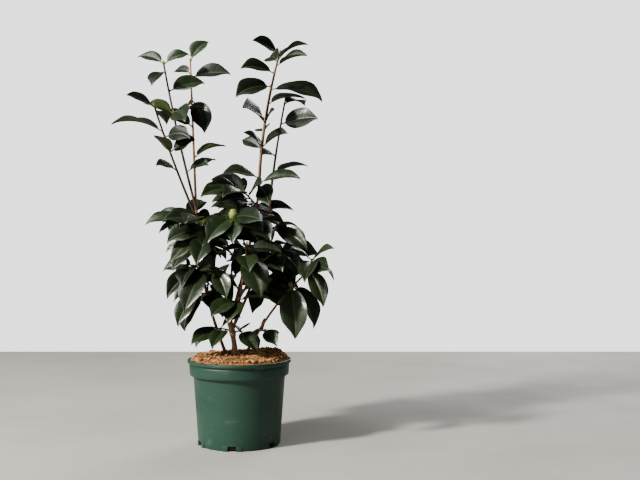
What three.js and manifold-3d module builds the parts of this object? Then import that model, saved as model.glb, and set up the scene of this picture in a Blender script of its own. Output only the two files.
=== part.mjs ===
// A young camellia shrub in its plastic nursery pot: three stems out of the bark topping, a dense
// lower crown of old leaves, and six upright shoots of the last season.
//
// Millimetres and degrees. x runs to the right, y to the back and z up from the underside of the pot.
// Bearings go round the plant from above: 0 is right, 90 back, 180 left and 270 front.

import * as THREE from "three";
import { mergeVertices } from "three/addons/utils/BufferGeometryUtils.js";
import Module from "manifold-3d";

const wasm = await Module();
wasm.setup();

// Pot
const potHeight = 155;
const rimRadius = 95;
const lipHeight = 6;
const collarTopRadius = 92.2;
const collarFootRadius = 90.6;
const collarFootHeight = 127;
const bodyTopRadius = 84.5;
const footRadius = 75;
const potWall = 1.6;
const potFloor = 2;
const potSegments = 40;
const drainSlots = 6;
const firstSlotBearing = 265;
const slotWidth = 15;
const slotHeight = 8.8;
const slotDepth = 14;
const padWidth = 10;
const padHeight = 9;
const padProud = 1.25;

// Bark topping and root ball
const soilCrown = 160;
const soilCrownRadius = 64;
const soilEdgeDrop = 1.5;
const fitGap = 0.4;

// Limbs and leaves
const jointGap = 0.35;
const ground = soilCrown + jointGap;
const leafLength = 74;
const leafBreadth = 0.55;
const leafThickness = 1.2;
const petioleLength = 8;
const petioleWidth = 1.7;
const bladeStations = [0.2, 0.52, 0.84];
const lightBearing = 256;
const turnToLight = 46;
const shootTurn = 14;
const shootBroader = 1.12;
const spiral = 144;
const clearance = 0.8;

// How far the crown reaches, with the pot's axis at the middle
const crown = { left: -246, right: 176, front: -165, back: 150, top: 762, foot: 168 };

const degrees = Math.PI / 180;
const colours = {
  pot: 0x44755c,
  soil: 0x8a5a35,
  bark: 0x7d6248,
  leaf: 0x2a4a22,
};

// The same plain generator serves every mass, each from its own seed.
function seededDraws(seed) {
  let state = seed;
  return (low, high) => {
    state = (state * 1664525 + 1013904223) % 4294967296;
    return low + ((high - low) * state) / 4294967296;
  };
}

function heading(bearing, lift) {
  const level = Math.cos(lift * degrees);
  return new THREE.Vector3(
    Math.cos(bearing * degrees) * level,
    Math.sin(bearing * degrees) * level,
    Math.sin(lift * degrees),
  );
}

// Solids

function solidOf(geometry) {
  const bare = geometry.clone();
  for (const name of Object.keys(bare.attributes)) {
    if (name !== "position") bare.deleteAttribute(name);
  }
  const merged = mergeVertices(bare, 1e-4);
  return new wasm.Manifold(
    new wasm.Mesh({
      numProp: 3,
      vertProperties: new Float32Array(merged.getAttribute("position").array),
      triVerts: new Uint32Array(merged.index.array),
    }),
  );
}

function geometryOf(solid) {
  const mesh = solid.getMesh();
  const geometry = new THREE.BufferGeometry();
  const place = new Float32Array(mesh.numVert * 3);
  for (let i = 0; i < mesh.numVert; i++) {
    place.set(mesh.vertProperties.subarray(i * mesh.numProp, i * mesh.numProp + 3), i * 3);
  }
  geometry.setAttribute("position", new THREE.BufferAttribute(place, 3));
  geometry.setIndex(new THREE.BufferAttribute(new Uint32Array(mesh.triVerts), 1));
  geometry.computeVertexNormals();
  return geometry;
}

// Cutting leaves crumbs behind now and then: only the largest piece is the part.
function largestPiece(solid) {
  const pieces = solid.decompose();
  return pieces.reduce((best, piece) => (piece.volume() > best.volume() ? piece : best));
}

function namedMesh(name, solid, colour, roughness) {
  const material = new THREE.MeshStandardMaterial({ color: colour, roughness, metalness: 0 });
  const mesh = new THREE.Mesh(geometryOf(solid), material);
  mesh.name = name;
  return mesh;
}

// Stands a lathe's profile of [radius, height] pairs up along z.
function lathe(profile, segments) {
  const points = profile.map(([radius, height]) => new THREE.Vector2(radius, height));
  return new THREE.LatheGeometry(points, segments).rotateX(Math.PI / 2);
}

// A block set against the pot's wall: its inner face lies at the given radius.
function blockAtWall(bearing, radius, depth, width, low, high) {
  return new THREE.BoxGeometry(depth, width, high - low)
    .translate(radius + depth / 2, 0, (low + high) / 2)
    .rotateZ(bearing * degrees);
}

function potSolid() {
  const lipInner = collarTopRadius - potWall;
  let pot = solidOf(
    lathe(
      [
        [0, 0],
        [footRadius, 0],
        [bodyTopRadius, collarFootHeight],
        [collarFootRadius, collarFootHeight],
        [collarTopRadius, potHeight - lipHeight],
        [rimRadius, potHeight - lipHeight],
        [rimRadius, potHeight],
        [lipInner, potHeight],
        [collarFootRadius - potWall, collarFootHeight + potWall],
        [bodyTopRadius - potWall, collarFootHeight + potWall],
        [footRadius - potWall, potFloor],
        [0, potFloor],
      ],
      potSegments,
    ),
  );
  const padTurn = Math.asin((slotWidth + padWidth) / 2 / footRadius) / degrees;
  for (let i = 0; i < drainSlots; i++) {
    const bearing = firstSlotBearing + (360 / drainSlots) * i;
    for (const side of [-1, 1]) {
      const depth = potWall / 2 + padProud;
      const inner = footRadius - potWall / 2;
      pot = pot.add(
        solidOf(blockAtWall(bearing + side * padTurn, inner, depth, padWidth, 0, padHeight)),
      );
    }
    const slot = blockAtWall(bearing, footRadius - slotDepth, 2 * slotDepth, slotWidth, -1, slotHeight);
    pot = pot.subtract(solidOf(slot));
  }
  return pot;
}

function soilSolid() {
  const edge = potHeight - soilEdgeDrop;
  return solidOf(
    lathe(
      [
        [0, potFloor + fitGap],
        [footRadius - potWall - fitGap, potFloor + fitGap],
        [bodyTopRadius - potWall - fitGap, collarFootHeight + potWall + fitGap],
        [collarFootRadius - potWall - fitGap, collarFootHeight + potWall + fitGap],
        [collarTopRadius - potWall - 2 * fitGap, edge],
        [(rimRadius + soilCrownRadius) / 2, edge + (soilCrown - edge) * 0.7],
        [soilCrownRadius, soilCrown],
        [0, soilCrown],
      ],
      potSegments,
    ),
  );
}

// Stems: one tapering prism bent along a curve, whatever its size

function stemAlong(from, to, bow, rootRadius, tipRadius, more = {}) {
  const control = from.clone().add(to).multiplyScalar(0.5).add(bow);
  const curve = new THREE.QuadraticBezierCurve3(from, control, to);
  return { curve, rootRadius, tipRadius, sides: 6, steps: 6, flare: 0, flatFoot: false, ...more };
}

function stemGeometry(stem, swell = 0) {
  const flareFade = 7;
  const chord = stem.curve.v2.clone().sub(stem.curve.v0);
  const length = chord.length();
  const upright = Math.abs(chord.z) > 0.7 * length;
  const reference = upright ? new THREE.Vector3(1, 0, 0) : new THREE.Vector3(0, 0, 1);
  const geometry = new THREE.CylinderGeometry(1, 1, 1, stem.sides, stem.steps);
  const place = geometry.getAttribute("position");
  for (let i = 0; i < place.count; i++) {
    const share = Math.min(1, Math.max(0, place.getY(i) + 0.5));
    const along = stem.curve.getTangent(share);
    if (stem.flatFoot && share === 0) along.set(0, 0, 1);
    const side = reference.clone().addScaledVector(along, -reference.dot(along)).normalize();
    const up = side.clone().cross(along);
    const radius =
      stem.rootRadius +
      (stem.tipRadius - stem.rootRadius) * share +
      stem.flare * Math.exp((-share * length) / flareFade) +
      swell;
    const point = stem.curve
      .getPoint(share)
      .addScaledVector(side, place.getX(i) * radius)
      .addScaledVector(up, place.getZ(i) * radius);
    place.setXYZ(i, point.x, point.y, point.z);
  }
  return geometry;
}

// Leaves: a short stalk and an oval blade, folded along its rib and hanging over towards its tip.
// Every station has four points, above, right, below and left of the rib.

function bladeHalfWidth(share) {
  return (share ** 0.75 * (1 - share) ** 0.85) / 0.331;
}

function leafGeometry(leaf, swell = 0, fromStation = 0) {
  const stations = [
    { along: 0, share: 0, width: petioleWidth / 2 },
    { along: petioleLength, share: 0, width: petioleWidth / 2 },
    ...bladeStations.map((share) => ({
      along: petioleLength + share * leaf.length,
      share,
      width: (bladeHalfWidth(share) * leaf.length * leaf.breadth) / 2,
    })),
    { along: petioleLength + leaf.length, share: 1, width: 0 },
  ];
  const middle = leaf.root.clone();
  const points = [];
  stations.forEach((station, i) => {
    if (i > 0) {
      const before = stations[i - 1];
      const half = (station.share + before.share) / 2;
      const way = heading(leaf.bearing + leaf.sweep * half, leaf.lift - leaf.droop * half);
      middle.addScaledVector(way, station.along - before.along);
    }
    if (i < fromStation) return;
    const bearing = leaf.bearing + leaf.sweep * station.share;
    const lift = leaf.lift - leaf.droop * station.share;
    const level = heading(bearing - 90, 0);
    const above = heading(bearing, lift + 90);
    const roll = leaf.roll * degrees;
    const side = level.clone().multiplyScalar(Math.cos(roll)).addScaledVector(above, Math.sin(roll));
    const top = above.multiplyScalar(Math.cos(roll)).addScaledVector(level, -Math.sin(roll));
    if (station.width === 0) {
      points.push(middle.clone());
      return;
    }
    const thick = leafThickness / 2 + swell;
    const fold = i > 1 ? leaf.fold * degrees : 0;
    const out = (station.width + swell) * Math.cos(fold);
    const rise = (station.width + swell) * Math.sin(fold);
    points.push(middle.clone().addScaledVector(top, thick));
    points.push(middle.clone().addScaledVector(side, out).addScaledVector(top, rise));
    points.push(middle.clone().addScaledVector(top, -thick));
    points.push(middle.clone().addScaledVector(side, -out).addScaledVector(top, rise));
  });
  const faces = [0, 3, 2, 0, 2, 1];
  const rings = (points.length - 1) / 4;
  for (let ring = 0; ring < rings; ring++) {
    for (let j = 0; j < 4; j++) {
      const a = 4 * ring + j;
      const b = 4 * ring + ((j + 1) % 4);
      if (ring === rings - 1) faces.push(a, b, 4 * rings);
      else faces.push(a, b, b + 4, a, b + 4, a + 4);
    }
  }
  const geometry = new THREE.BufferGeometry().setFromPoints(points);
  geometry.setIndex(faces);
  return geometry;
}

// Flower bud: a plump oval that sits on a twig's end
function budGeometry(bud) {
  const along = bud.way.clone();
  const turn = new THREE.Quaternion().setFromUnitVectors(new THREE.Vector3(0, 1, 0), along);
  const centre = bud.root.clone().addScaledVector(along, bud.radius);
  return new THREE.SphereGeometry(bud.radius, 7, 5)
    .scale(1, 1.4, 1)
    .applyQuaternion(turn)
    .translate(centre.x, centre.y, centre.z);
}

// Touching: two closed surfaces touch where an edge of one passes through a face of the other.

function shellOf(geometry) {
  const merged = mergeVertices(
    new THREE.BufferGeometry()
      .setAttribute("position", geometry.getAttribute("position"))
      .setIndex(geometry.index),
    1e-4,
  );
  const place = merged.getAttribute("position");
  const points = [];
  for (let i = 0; i < place.count; i++) {
    points.push(new THREE.Vector3().fromBufferAttribute(place, i));
  }
  const faces = [];
  const edges = [];
  const index = merged.index.array;
  for (let i = 0; i < index.length; i += 3) {
    const corners = [index[i], index[i + 1], index[i + 2]];
    faces.push(corners.map((c) => points[c]));
    corners.forEach((c, k) => {
      const next = corners[(k + 1) % 3];
      if (c < next) edges.push([points[c], points[next]]);
    });
  }
  return { points, faces, edges, box: new THREE.Box3().setFromPoints(points) };
}

const scratch = [0, 1, 2, 3, 4].map(() => new THREE.Vector3());

function edgePassesFace([p, q], [a, b, c]) {
  const [way, pa, pb, pc, product] = scratch;
  way.subVectors(q, p);
  pa.subVectors(a, p);
  pb.subVectors(b, p);
  pc.subVectors(c, p);
  const one = way.dot(product.crossVectors(pa, pb));
  const two = way.dot(product.crossVectors(pb, pc));
  if (one * two < 0) return false;
  const three = way.dot(product.crossVectors(pc, pa));
  if (one * three < 0 || two * three < 0) return false;
  const normal = product.crossVectors(pb.sub(pa), pc.sub(pa));
  const here = -normal.dot(pa);
  return here * (here + normal.dot(way)) <= 0;
}

function touch(one, two) {
  if (!one.box.intersectsBox(two.box)) return false;
  for (const [shell, other] of [[one, two], [two, one]]) {
    const near = other.faces.filter((face) => face.some((point) => shell.box.distanceToPoint(point) < 25));
    for (const edge of shell.edges) {
      if (near.some((face) => edgePassesFace(edge, face))) return true;
    }
  }
  return false;
}

// What has grown so far: each shell with its mass, and with the stem it is the shell of
const grown = [];

function standsClear(shell, blade, mass, ownStem) {
  return grown.every((other) => {
    if (other.stem === ownStem) return true;
    return !touch(other.mass === mass ? blade : shell, other.shell);
  });
}

function insideCrown(points) {
  return points.every((point) => {
    const overPot = Math.hypot(point.x, point.y) < rimRadius + 4;
    return (
      point.x > crown.left && point.x < crown.right &&
      point.y > crown.front && point.y < crown.back &&
      point.z < crown.top && point.z > (overPot ? crown.foot : crown.foot - 20)
    );
  });
}

// Limbs: [x, y] of a foot in the topping, or another limb and how far up it, then the head
const limbs = {};

function growLimb(name, { foot, parent, share, head, bow, radii, flare, sides }) {
  const from = foot ? new THREE.Vector3(...foot, ground) : limbs[parent].curve.getPoint(share);
  const stem = stemAlong(from, new THREE.Vector3(...head), new THREE.Vector3(...bow), ...radii, {
    flatFoot: Boolean(foot),
    flare: flare || 0,
    sides: sides || 6,
    steps: 7,
  });
  limbs[name] = stem;
  grown.push({ stem, shell: shellOf(stemGeometry(stem)) });
}

const limbPlan = {
  trunk: { foot: [-8, 0], head: [-19, 3, 226], bow: [4, 0, 0], radii: [4.9, 4.1], flare: 2.2, sides: 8 },
  left_stem: { foot: [-25, 9], head: [-79, -6, 430], bow: [-26, 0, 0], radii: [2.8, 2.1], flare: 1 },
  right_stem: { foot: [10, -6], head: [124, -26, 314], bow: [-11, 0, 14], radii: [2.5, 1.6], flare: 1 },
  leader: { parent: "trunk", share: 0.93, head: [36, 6, 470], bow: [11, 0, 4], radii: [3.3, 2.1] },
  red_bough: { parent: "trunk", share: 0.86, head: [-41, -20, 350], bow: [-26, -8, 2], radii: [2.7, 1.8] },
  right_bough: { parent: "trunk", share: 0.72, head: [56, 18, 452], bow: [27, 6, 4], radii: [2.8, 1.9] },
  back_bough: { parent: "trunk", share: 0.8, head: [-12, 62, 372], bow: [-14, 24, -10], radii: [2.5, 1.6] },
  front_bough: { parent: "trunk", share: 0.62, head: [16, -56, 338], bow: [4, -22, -4], radii: [2.3, 1.5] },
};

// Upright shoots. Each leaf stands at a share of its shoot's length and has a bearing, a lift,
// a length and, where it isn't turned as the rest, a roll.
const shootPlan = {
  far_left_shoot: {
    limb: "left_stem", share: 0.94, head: [-151, -34, 616], bow: [-6, 0, 0], seed: 11,
    leaves: [
      [0.57, 248, 28, 58, 10], [0.72, 325, -8, 60], [0.77, 180, 7, 98, -46], [0.96, 75, -25, 50],
      [0.985, 215, 16, 56], [0.59, 318, 10, 58, -14], [0.42, 222, 6, 48],
    ],
  },
  left_shoot: {
    limb: "left_stem", share: 1, head: [-139, -8, 700], bow: [-6, 0, 0], seed: 12,
    leaves: [
      [0.66, 302, -20, 74], [0.645, 183, 18, 50], [0.64, 342, 4, 54, 36], [0.8, 18, 15, 67, -8],
      [0.93, 251, -36, 58], [0.985, 158, 15, 56, -14], [0.985, 12, 21, 50], [0.25, 330, 8, 54],
    ],
  },
  inner_left_shoot: {
    limb: "left_stem", share: 0.98, head: [-96, 36, 712], bow: [0, 0, 0], seed: 13,
    leaves: [
      [0.55, 186, 27, 60], [0.28, 54, 18, 60], [0.35, 28, 19, 68, 31], [0.735, 322, -64, 72],
      [0.7, 115, -2, 52], [0.885, 353, 3, 74], [0.905, 140, 6, 46], [0.99, 32, 44, 58],
    ],
  },
  middle_shoot: {
    limb: "leader", share: 1, head: [75, -14, 716], bow: [-14, 0, 0], seed: 14,
    leaves: [
      [0.07, 210, 5, 72, -14], [0.04, 340, 3, 80, 34], [0.02, 294, -36, 68], [0.3, 228, 26, 50, 15],
      [0.28, 120, 14, 54], [0.3, 326, 19, 62, 16], [0.48, 237, 13, 78, 44], [0.75, 205, -20, 74],
      [0.845, 208, 2, 66], [0.99, 212, 16, 58, 12], [0.47, 300, 28, 42],
    ],
  },
  inner_right_shoot: {
    limb: "leader", share: 0.96, head: [69, 34, 712], bow: [-16, 0, 0], seed: 15,
    leaves: [
      [0.45, 95, 10, 60], [0.66, 18, 8, 78, 25], [0.775, 350, -15, 104, 44], [0.95, 335, 11, 66, 46],
      [0.98, 110, 14, 60], [0.995, 22, 27, 70, 34],
    ],
  },
  right_shoot: {
    limb: "right_bough", share: 1, head: [83, 22, 632], bow: [-4, 0, 0], seed: 16,
    leaves: [
      [0.26, 22, 11, 72, 28], [0.43, 205, 14, 40], [0.76, 344, 6, 72, -16], [0.97, 70, 10, 62],
    ],
  },
};

// The lower crown: a side branch from a limb towards a bearing. The leaves that shape the crown are
// given as they are on a shoot, and the rest stand in a spiral up the branch. A few have fallen.
const massPlan = {
  left_top_mass: {
    limb: "left_stem", share: 0.86, bearing: 204, lift: 50, reach: 30,
    leaves: [[0.9, 205, -10, 78], [0.97, 157, -5, 70], [0.3, 145, -9, 70], [0.75, 243, -24, 66]],
    more: 5, seed: 21,
  },
  left_front_mass: {
    limb: "left_stem", share: 0.72, bearing: 262, lift: 34, reach: 40,
    more: 7, twig: 320, fallen: [2, 8], seed: 22,
  },
  left_back_mass: {
    limb: "left_stem", share: 0.64, bearing: 104, lift: 42, reach: 70,
    more: 8, twig: 60, fallen: [10], seed: 23,
  },
  left_middle_mass: {
    limb: "left_stem", share: 0.58, bearing: 196, lift: 30, reach: 18,
    leaves: [[0.6, 165, -38, 66], [0.9, 140, -18, 66]],
    more: 5, leafLift: -30, seed: 24,
  },
  left_low_mass: {
    limb: "left_stem", share: 0.42, bearing: 222, lift: 0, reach: 22,
    leaves: [[0.9, 232, -46, 76]],
    more: 5, leafLift: -50, fallen: [3], seed: 25,
  },
  red_top_mass: {
    limb: "red_bough", share: 1, bearing: 230, lift: 62, reach: 64,
    leaves: [[0.9, 188, -4, 76], [0.62, 202, -40, 90], [0.5, 241, -52, 80]],
    more: 6, twig: 322, fallen: [0, 3, 8], buds: [4.7, 3.4], seed: 26,
  },
  red_low_mass: {
    limb: "red_bough", share: 0.7, bearing: 222, lift: 16, reach: 26,
    leaves: [[0.95, 252, -46, 98]],
    more: 5, leafLift: -40, fallen: [3], seed: 27,
  },
  centre_left_mass: {
    limb: "leader", share: 0.86, bearing: 202, lift: 42, reach: 48,
    leaves: [[0.98, 205, -14, 76], [0.5, 224, -14, 76], [0.5, 162, 22, 76]],
    more: 6, seed: 28,
  },
  centre_front_mass: {
    limb: "leader", share: 0.5, bearing: 248, lift: 50, reach: 88,
    leaves: [
      [0.96, 231, -34, 80], [0.92, 274, -42, 66], [0.86, 314, -18, 74],
      [0.98, 345, -24, 76], [0.99, 130, -10, 66],
    ],
    more: 6, twig: 300, buds: [6.8], seed: 29,
  },
  centre_back_mass: {
    limb: "leader", share: 0.62, bearing: 92, lift: 48, reach: 92,
    more: 9, twig: 132, fallen: [7], seed: 30,
  },
  right_top_mass: {
    limb: "right_bough", share: 0.74, bearing: 340, lift: 20, reach: 16,
    leaves: [[0.9, 338, -30, 82]],
    more: 6, seed: 31,
  },
  right_front_mass: {
    limb: "right_bough", share: 0.44, bearing: 326, lift: 36, reach: 62,
    leaves: [[0.95, 346, -14, 76], [0.98, 318, -40, 68], [0.8, 298, -42, 68]],
    more: 5, twig: 290, leafLift: -28, fallen: [2, 4, 7], buds: [6], seed: 32,
  },
  right_back_mass: {
    limb: "right_bough", share: 0.36, bearing: 48, lift: 42, reach: 70,
    leaves: [[0.85, 330, -55, 84]],
    more: 7, twig: 10, fallen: [1], seed: 33,
  },
  right_middle_mass: {
    limb: "right_bough", share: 0.26, bearing: 352, lift: 30, reach: 40,
    more: 7, leafLift: -34, seed: 43,
  },
  right_stem_mass: {
    limb: "right_stem", share: 0.98, bearing: 350, lift: 62, reach: 28,
    leaves: [[0.3, 322, -60, 76], [0.4, 12, -42, 80], [0.97, 196, 16, 52], [0.99, 350, 4, 54]],
    more: 3, leafLift: -24, seed: 34,
  },
  right_low_mass: {
    limb: "right_stem", share: 0.8, bearing: 262, lift: 16, reach: 14,
    leaves: [[0.9, 284, -72, 98], [0.6, 8, -64, 90]],
    more: 0, buds: [3.4], seed: 35,
  },
  back_left_mass: {
    limb: "left_stem", share: 0.4, bearing: 96, lift: 30, reach: 54,
    more: 8, leafLift: -30, seed: 44,
  },
  back_top_mass: {
    limb: "back_bough", share: 0.98, bearing: 104, lift: 56, reach: 60,
    more: 8, fallen: [0], buds: [5], seed: 36,
  },
  back_low_mass: {
    limb: "back_bough", share: 0.5, bearing: 150, lift: 30, reach: 50,
    more: 8, leafLift: -30, seed: 37,
  },
  back_right_mass: {
    limb: "back_bough", share: 0.7, bearing: 44, lift: 26, reach: 52,
    more: 8, leafLift: -22, fallen: [3, 6, 7], seed: 42,
  },
  front_top_mass: {
    limb: "front_bough", share: 0.98, bearing: 280, lift: 50, reach: 40,
    leaves: [[0.3, 300, -54, 90]],
    more: 7, leafLift: -24, fallen: [1, 2, 5], seed: 38,
  },
  front_low_mass: {
    limb: "front_bough", share: 0.46, bearing: 262, lift: 10, reach: 18,
    leaves: [[0.85, 236, -20, 74]],
    more: 3, leafLift: -40, seed: 39,
  },
  foot_left_mass: {
    limb: "trunk", share: 0.66, bearing: 200, lift: 16, reach: 24,
    leaves: [[0.95, 224, -22, 68], [0.45, 250, -30, 62], [0.8, 150, -20, 60]],
    more: 2, leafLift: -20, fallen: [0], seed: 40,
  },
  foot_right_mass: {
    limb: "trunk", share: 0.6, bearing: 318, lift: 20, reach: 20,
    leaves: [[0.95, 306, -32, 66]],
    more: 2, leafLift: -20, fallen: [0], seed: 41,
  },
  foot_side_mass: {
    limb: "right_stem", share: 0.26, bearing: 330, lift: 10, reach: 12,
    leaves: [[0.8, 302, -26, 54], [0.95, 62, -20, 54]],
    more: 2, leafLift: -18, seed: 45,
  },
};

const masses = {};

function startMass(name, limb, stem) {
  const mass = { limb, stems: [stem], leaves: [], buds: [] };
  masses[name] = mass;
  grown.push({ mass, stem, shell: shellOf(stemGeometry(stem)) });
}

// A leaf that would touch something is turned a little, a few times over, before it is left out.
const turns = [[0, 0], [18, 8], [-18, -8], [34, -18], [-34, 18], [52, -6], [-52, 10], [75, -25], [-75, -25]];

function growLeaf(mass, stem, leaf) {
  for (const [turn, raise] of turns) {
    const placed = { ...leaf, bearing: leaf.bearing + turn, lift: leaf.lift + raise };
    const shell = shellOf(leafGeometry(placed, clearance));
    const blade = shellOf(leafGeometry(placed, clearance, 1));
    if (!insideCrown(blade.points) || !standsClear(shell, blade, mass, stem)) continue;
    mass.leaves.push(placed);
    grown.push({ mass, stem: placed, shell: shellOf(leafGeometry(placed)) });
    return;
  }
}

// The lift is that of the straight line to the leaf's tip. Every blade turns its face to the light.
function leafFrom(draw, root, bearing, lift, length, roll) {
  const droop = draw(24, 58);
  return {
    root,
    bearing,
    lift: lift + droop / 2,
    droop,
    length: length - petioleLength / 2,
    roll: roll + draw(-14, 14) - turnToLight * Math.sin((bearing - lightBearing) * degrees),
    sweep: draw(-14, 14),
    fold: draw(10, 24),
    breadth: leafBreadth * draw(0.88, 1.1),
  };
}

// The leaves of a shoot stand free of one another, turn further and are broader.
function growListedLeaves(name, plan) {
  const draw = seededDraws(plan.seed);
  const mass = masses[name];
  const stem = mass.stems[0];
  for (const [share, bearing, lift, length, roll] of plan.leaves || []) {
    const further = name in shootPlan ? shootTurn * Math.sin((bearing - lightBearing) * degrees) : 0;
    const root = stem.curve.getPoint(share);
    const leaf = leafFrom(draw, root, bearing, lift, length, (roll || 0) - further);
    if (name in shootPlan) leaf.breadth *= shootBroader;
    growLeaf(mass, stem, leaf);
  }
}

function growTwig(name, plan) {
  if (plan.twig === undefined) return;
  const draw = seededDraws(plan.seed * 7);
  const mass = masses[name];
  const stem = mass.stems[0];
  const root = stem.curve.getPoint(draw(0.4, 0.5));
  const reach = plan.reach * draw(0.4, 0.55);
  const tip = root.clone().addScaledVector(heading(plan.twig, draw(10, 40)), reach);
  const twig = stemAlong(root, tip, new THREE.Vector3(0, 0, reach * 0.1), 1.1, 0.8, { sides: 4, steps: 2 });
  const shell = shellOf(stemGeometry(twig, clearance));
  if (!insideCrown(shell.points) || !standsClear(shell, shell, mass, stem)) return;
  mass.stems.push(twig);
  grown.push({ mass, stem: twig, shell: shellOf(stemGeometry(twig)) });
}

// Leaves stand in a spiral up the branch. The upper ones are the more raised.
function growSpiralLeaves(name, plan) {
  const draw = seededDraws(plan.seed * 13 + 5);
  const mass = masses[name];
  const leafLift = plan.leafLift === undefined ? -16 : plan.leafLift;
  const fallen = plan.fallen || [];
  let number = 0;
  mass.stems.forEach((stem, order) => {
    const count = order === 0 ? plan.more : 3;
    const first = order === 0 ? 0.3 : 0.55;
    const start = order === 0 ? plan.bearing : plan.twig;
    for (let i = 0; i < count; i++) {
      const up = i / (count - 1);
      const root = stem.curve.getPoint(first + (0.995 - first) * up);
      const way = start + spiral * i + draw(-20, 20);
      const lift = leafLift + 14 * up + draw(-20, 20);
      const leaf = leafFrom(draw, root, way, lift, leafLength * draw(0.84, 1.14), 0);
      if (!fallen.includes(number)) growLeaf(mass, stem, leaf);
      number += 1;
    }
  });
}

// A bud ends the branch, and where the plan gives two, the second one ends its twig.
function growBuds(name, plan) {
  const mass = masses[name];
  (plan.buds || []).forEach((radius, i) => {
    const stem = mass.stems[i];
    if (!stem) return;
    const way = stem.curve.getTangent(1).add(new THREE.Vector3(0, 0, 0.9)).normalize();
    const bud = { root: stem.curve.getPoint(0.97), way, radius };
    mass.buds.push(bud);
    grown.push({ mass, stem: bud, shell: shellOf(budGeometry(bud)) });
  });
}

for (const [name, plan] of Object.entries(limbPlan)) growLimb(name, plan);
for (const [name, plan] of Object.entries(shootPlan)) {
  const from = limbs[plan.limb].curve.getPoint(plan.share);
  const head = new THREE.Vector3(...plan.head);
  const bow = new THREE.Vector3(...plan.bow);
  startMass(name, plan.limb, stemAlong(from, head, bow, 1.7, 0.9, { sides: 5, steps: 5 }));
}
for (const [name, plan] of Object.entries(massPlan)) {
  const from = limbs[plan.limb].curve.getPoint(plan.share);
  const tip = from.clone().addScaledVector(heading(plan.bearing, plan.lift), plan.reach);
  const arch = new THREE.Vector3(0, 0, plan.reach * 0.14);
  startMass(name, plan.limb, stemAlong(from, tip, arch, 1.5, 1, { sides: 4, steps: 3 }));
}
for (const [name, plan] of Object.entries(massPlan)) growTwig(name, plan);
for (const [name, plan] of Object.entries(massPlan)) growBuds(name, plan);
for (const [name, plan] of Object.entries(shootPlan)) growListedLeaves(name, plan);
for (const [name, plan] of Object.entries(massPlan)) growListedLeaves(name, plan);
for (const [name, plan] of Object.entries(massPlan)) growSpiralLeaves(name, plan);

// Each piece is cut clear of the limbs and branches that were made before it.
const cutters = [];

function cutClear(solid, stem) {
  const box = shellOf(stemGeometry(stem, jointGap)).box;
  let cut = solid;
  for (const cutter of cutters) {
    if (cutter.box.intersectsBox(box)) cut = cut.subtract(cutter.solid);
  }
  const grownStem = stemGeometry(stem, jointGap);
  cutters.push({ solid: solidOf(grownStem), box });
  return largestPiece(cut);
}

const shrub = new THREE.Group();
shrub.add(namedMesh("pot", potSolid(), colours.pot, 0.5));
shrub.add(namedMesh("soil", soilSolid(), colours.soil, 0.95));
for (const [name, stem] of Object.entries(limbs)) {
  shrub.add(namedMesh(name, cutClear(solidOf(stemGeometry(stem)), stem), colours.bark, 0.85));
}
for (const [name, mass] of Object.entries(masses)) {
  const [stem, ...twigs] = mass.stems;
  let solid = cutClear(solidOf(stemGeometry(stem)), stem);
  for (const twig of twigs) solid = solid.add(solidOf(stemGeometry(twig)));
  for (const leaf of mass.leaves) solid = solid.add(solidOf(leafGeometry(leaf)));
  for (const bud of mass.buds) solid = solid.add(solidOf(budGeometry(bud)));
  shrub.add(namedMesh(name, largestPiece(solid), colours.leaf, 0.4));
}

export default shrub;
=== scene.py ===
# A young camellia shrub in its plastic nursery pot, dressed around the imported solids.
# The branches and leaves grow by the same seeded rule as the solids, carried on to finer twigs.
# The growing is worked out in millimetres and degrees, and the meshes are made in metres.
import math
from itertools import combinations

import bpy
import numpy as np
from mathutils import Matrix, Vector, noise


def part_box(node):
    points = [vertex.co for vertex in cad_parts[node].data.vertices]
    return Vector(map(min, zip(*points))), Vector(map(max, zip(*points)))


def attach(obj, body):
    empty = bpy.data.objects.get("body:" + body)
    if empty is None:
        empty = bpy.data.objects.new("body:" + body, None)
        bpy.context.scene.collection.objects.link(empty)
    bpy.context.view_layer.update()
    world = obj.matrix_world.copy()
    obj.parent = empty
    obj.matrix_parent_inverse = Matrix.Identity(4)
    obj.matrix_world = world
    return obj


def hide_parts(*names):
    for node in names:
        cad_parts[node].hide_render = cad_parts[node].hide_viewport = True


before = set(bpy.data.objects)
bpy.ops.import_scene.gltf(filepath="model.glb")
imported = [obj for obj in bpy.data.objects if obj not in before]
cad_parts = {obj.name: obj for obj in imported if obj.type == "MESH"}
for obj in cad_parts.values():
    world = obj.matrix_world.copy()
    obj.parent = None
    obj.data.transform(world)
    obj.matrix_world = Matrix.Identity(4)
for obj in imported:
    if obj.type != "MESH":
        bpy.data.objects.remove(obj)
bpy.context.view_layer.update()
millimetre = 0.001
degrees = math.pi / 180

# Camera, floor and light
cameraSetup = {"place": (0.1485, -1.66, 0.3733), "lens": 50.625, "sensor": 36.0}
floorSetup = {"width": 9, "back": 1.35}
lightSetup = {
    "sky": (0.86, 0.88, 0.90, 1), "skyStrength": 0.105,
    "backdrop": (0.97, 1.0, 0.985, 1), "backdropStrength": 1.5, "contrast": "Medium High Contrast",
    # place, aimed at, width, watts, colour
    "lamps": {
        "keyLight": ((-2.38, -1.8, 2.3), (0, 0, 0.36), 0.4, 252, (1.0, 0.965, 0.90)),
        "frontLight": ((-1.0, -2.2, 0.7), (0, 0, 0.2), 0.8, 9, (1.0, 0.98, 0.95)),
        "topLight": ((-0.9, -0.7, 2.6), (0, 0, 0.4), 1.5, 34, (0.95, 0.97, 1.0)),
        "sideLight": ((1.95, 1.95, 1.6), (0, 0, 0.45), 1.4, 8, (0.96, 0.98, 1.0)),
        "backLight": ((1.2, 2.4, 1.5), (0, 0, 0.35), 1.5, 40, (1.0, 0.98, 0.95)),
    },
}


def addObject(name, data):
    thing = bpy.data.objects.new(name, data)
    bpy.context.scene.collection.objects.link(thing)
    return thing


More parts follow.
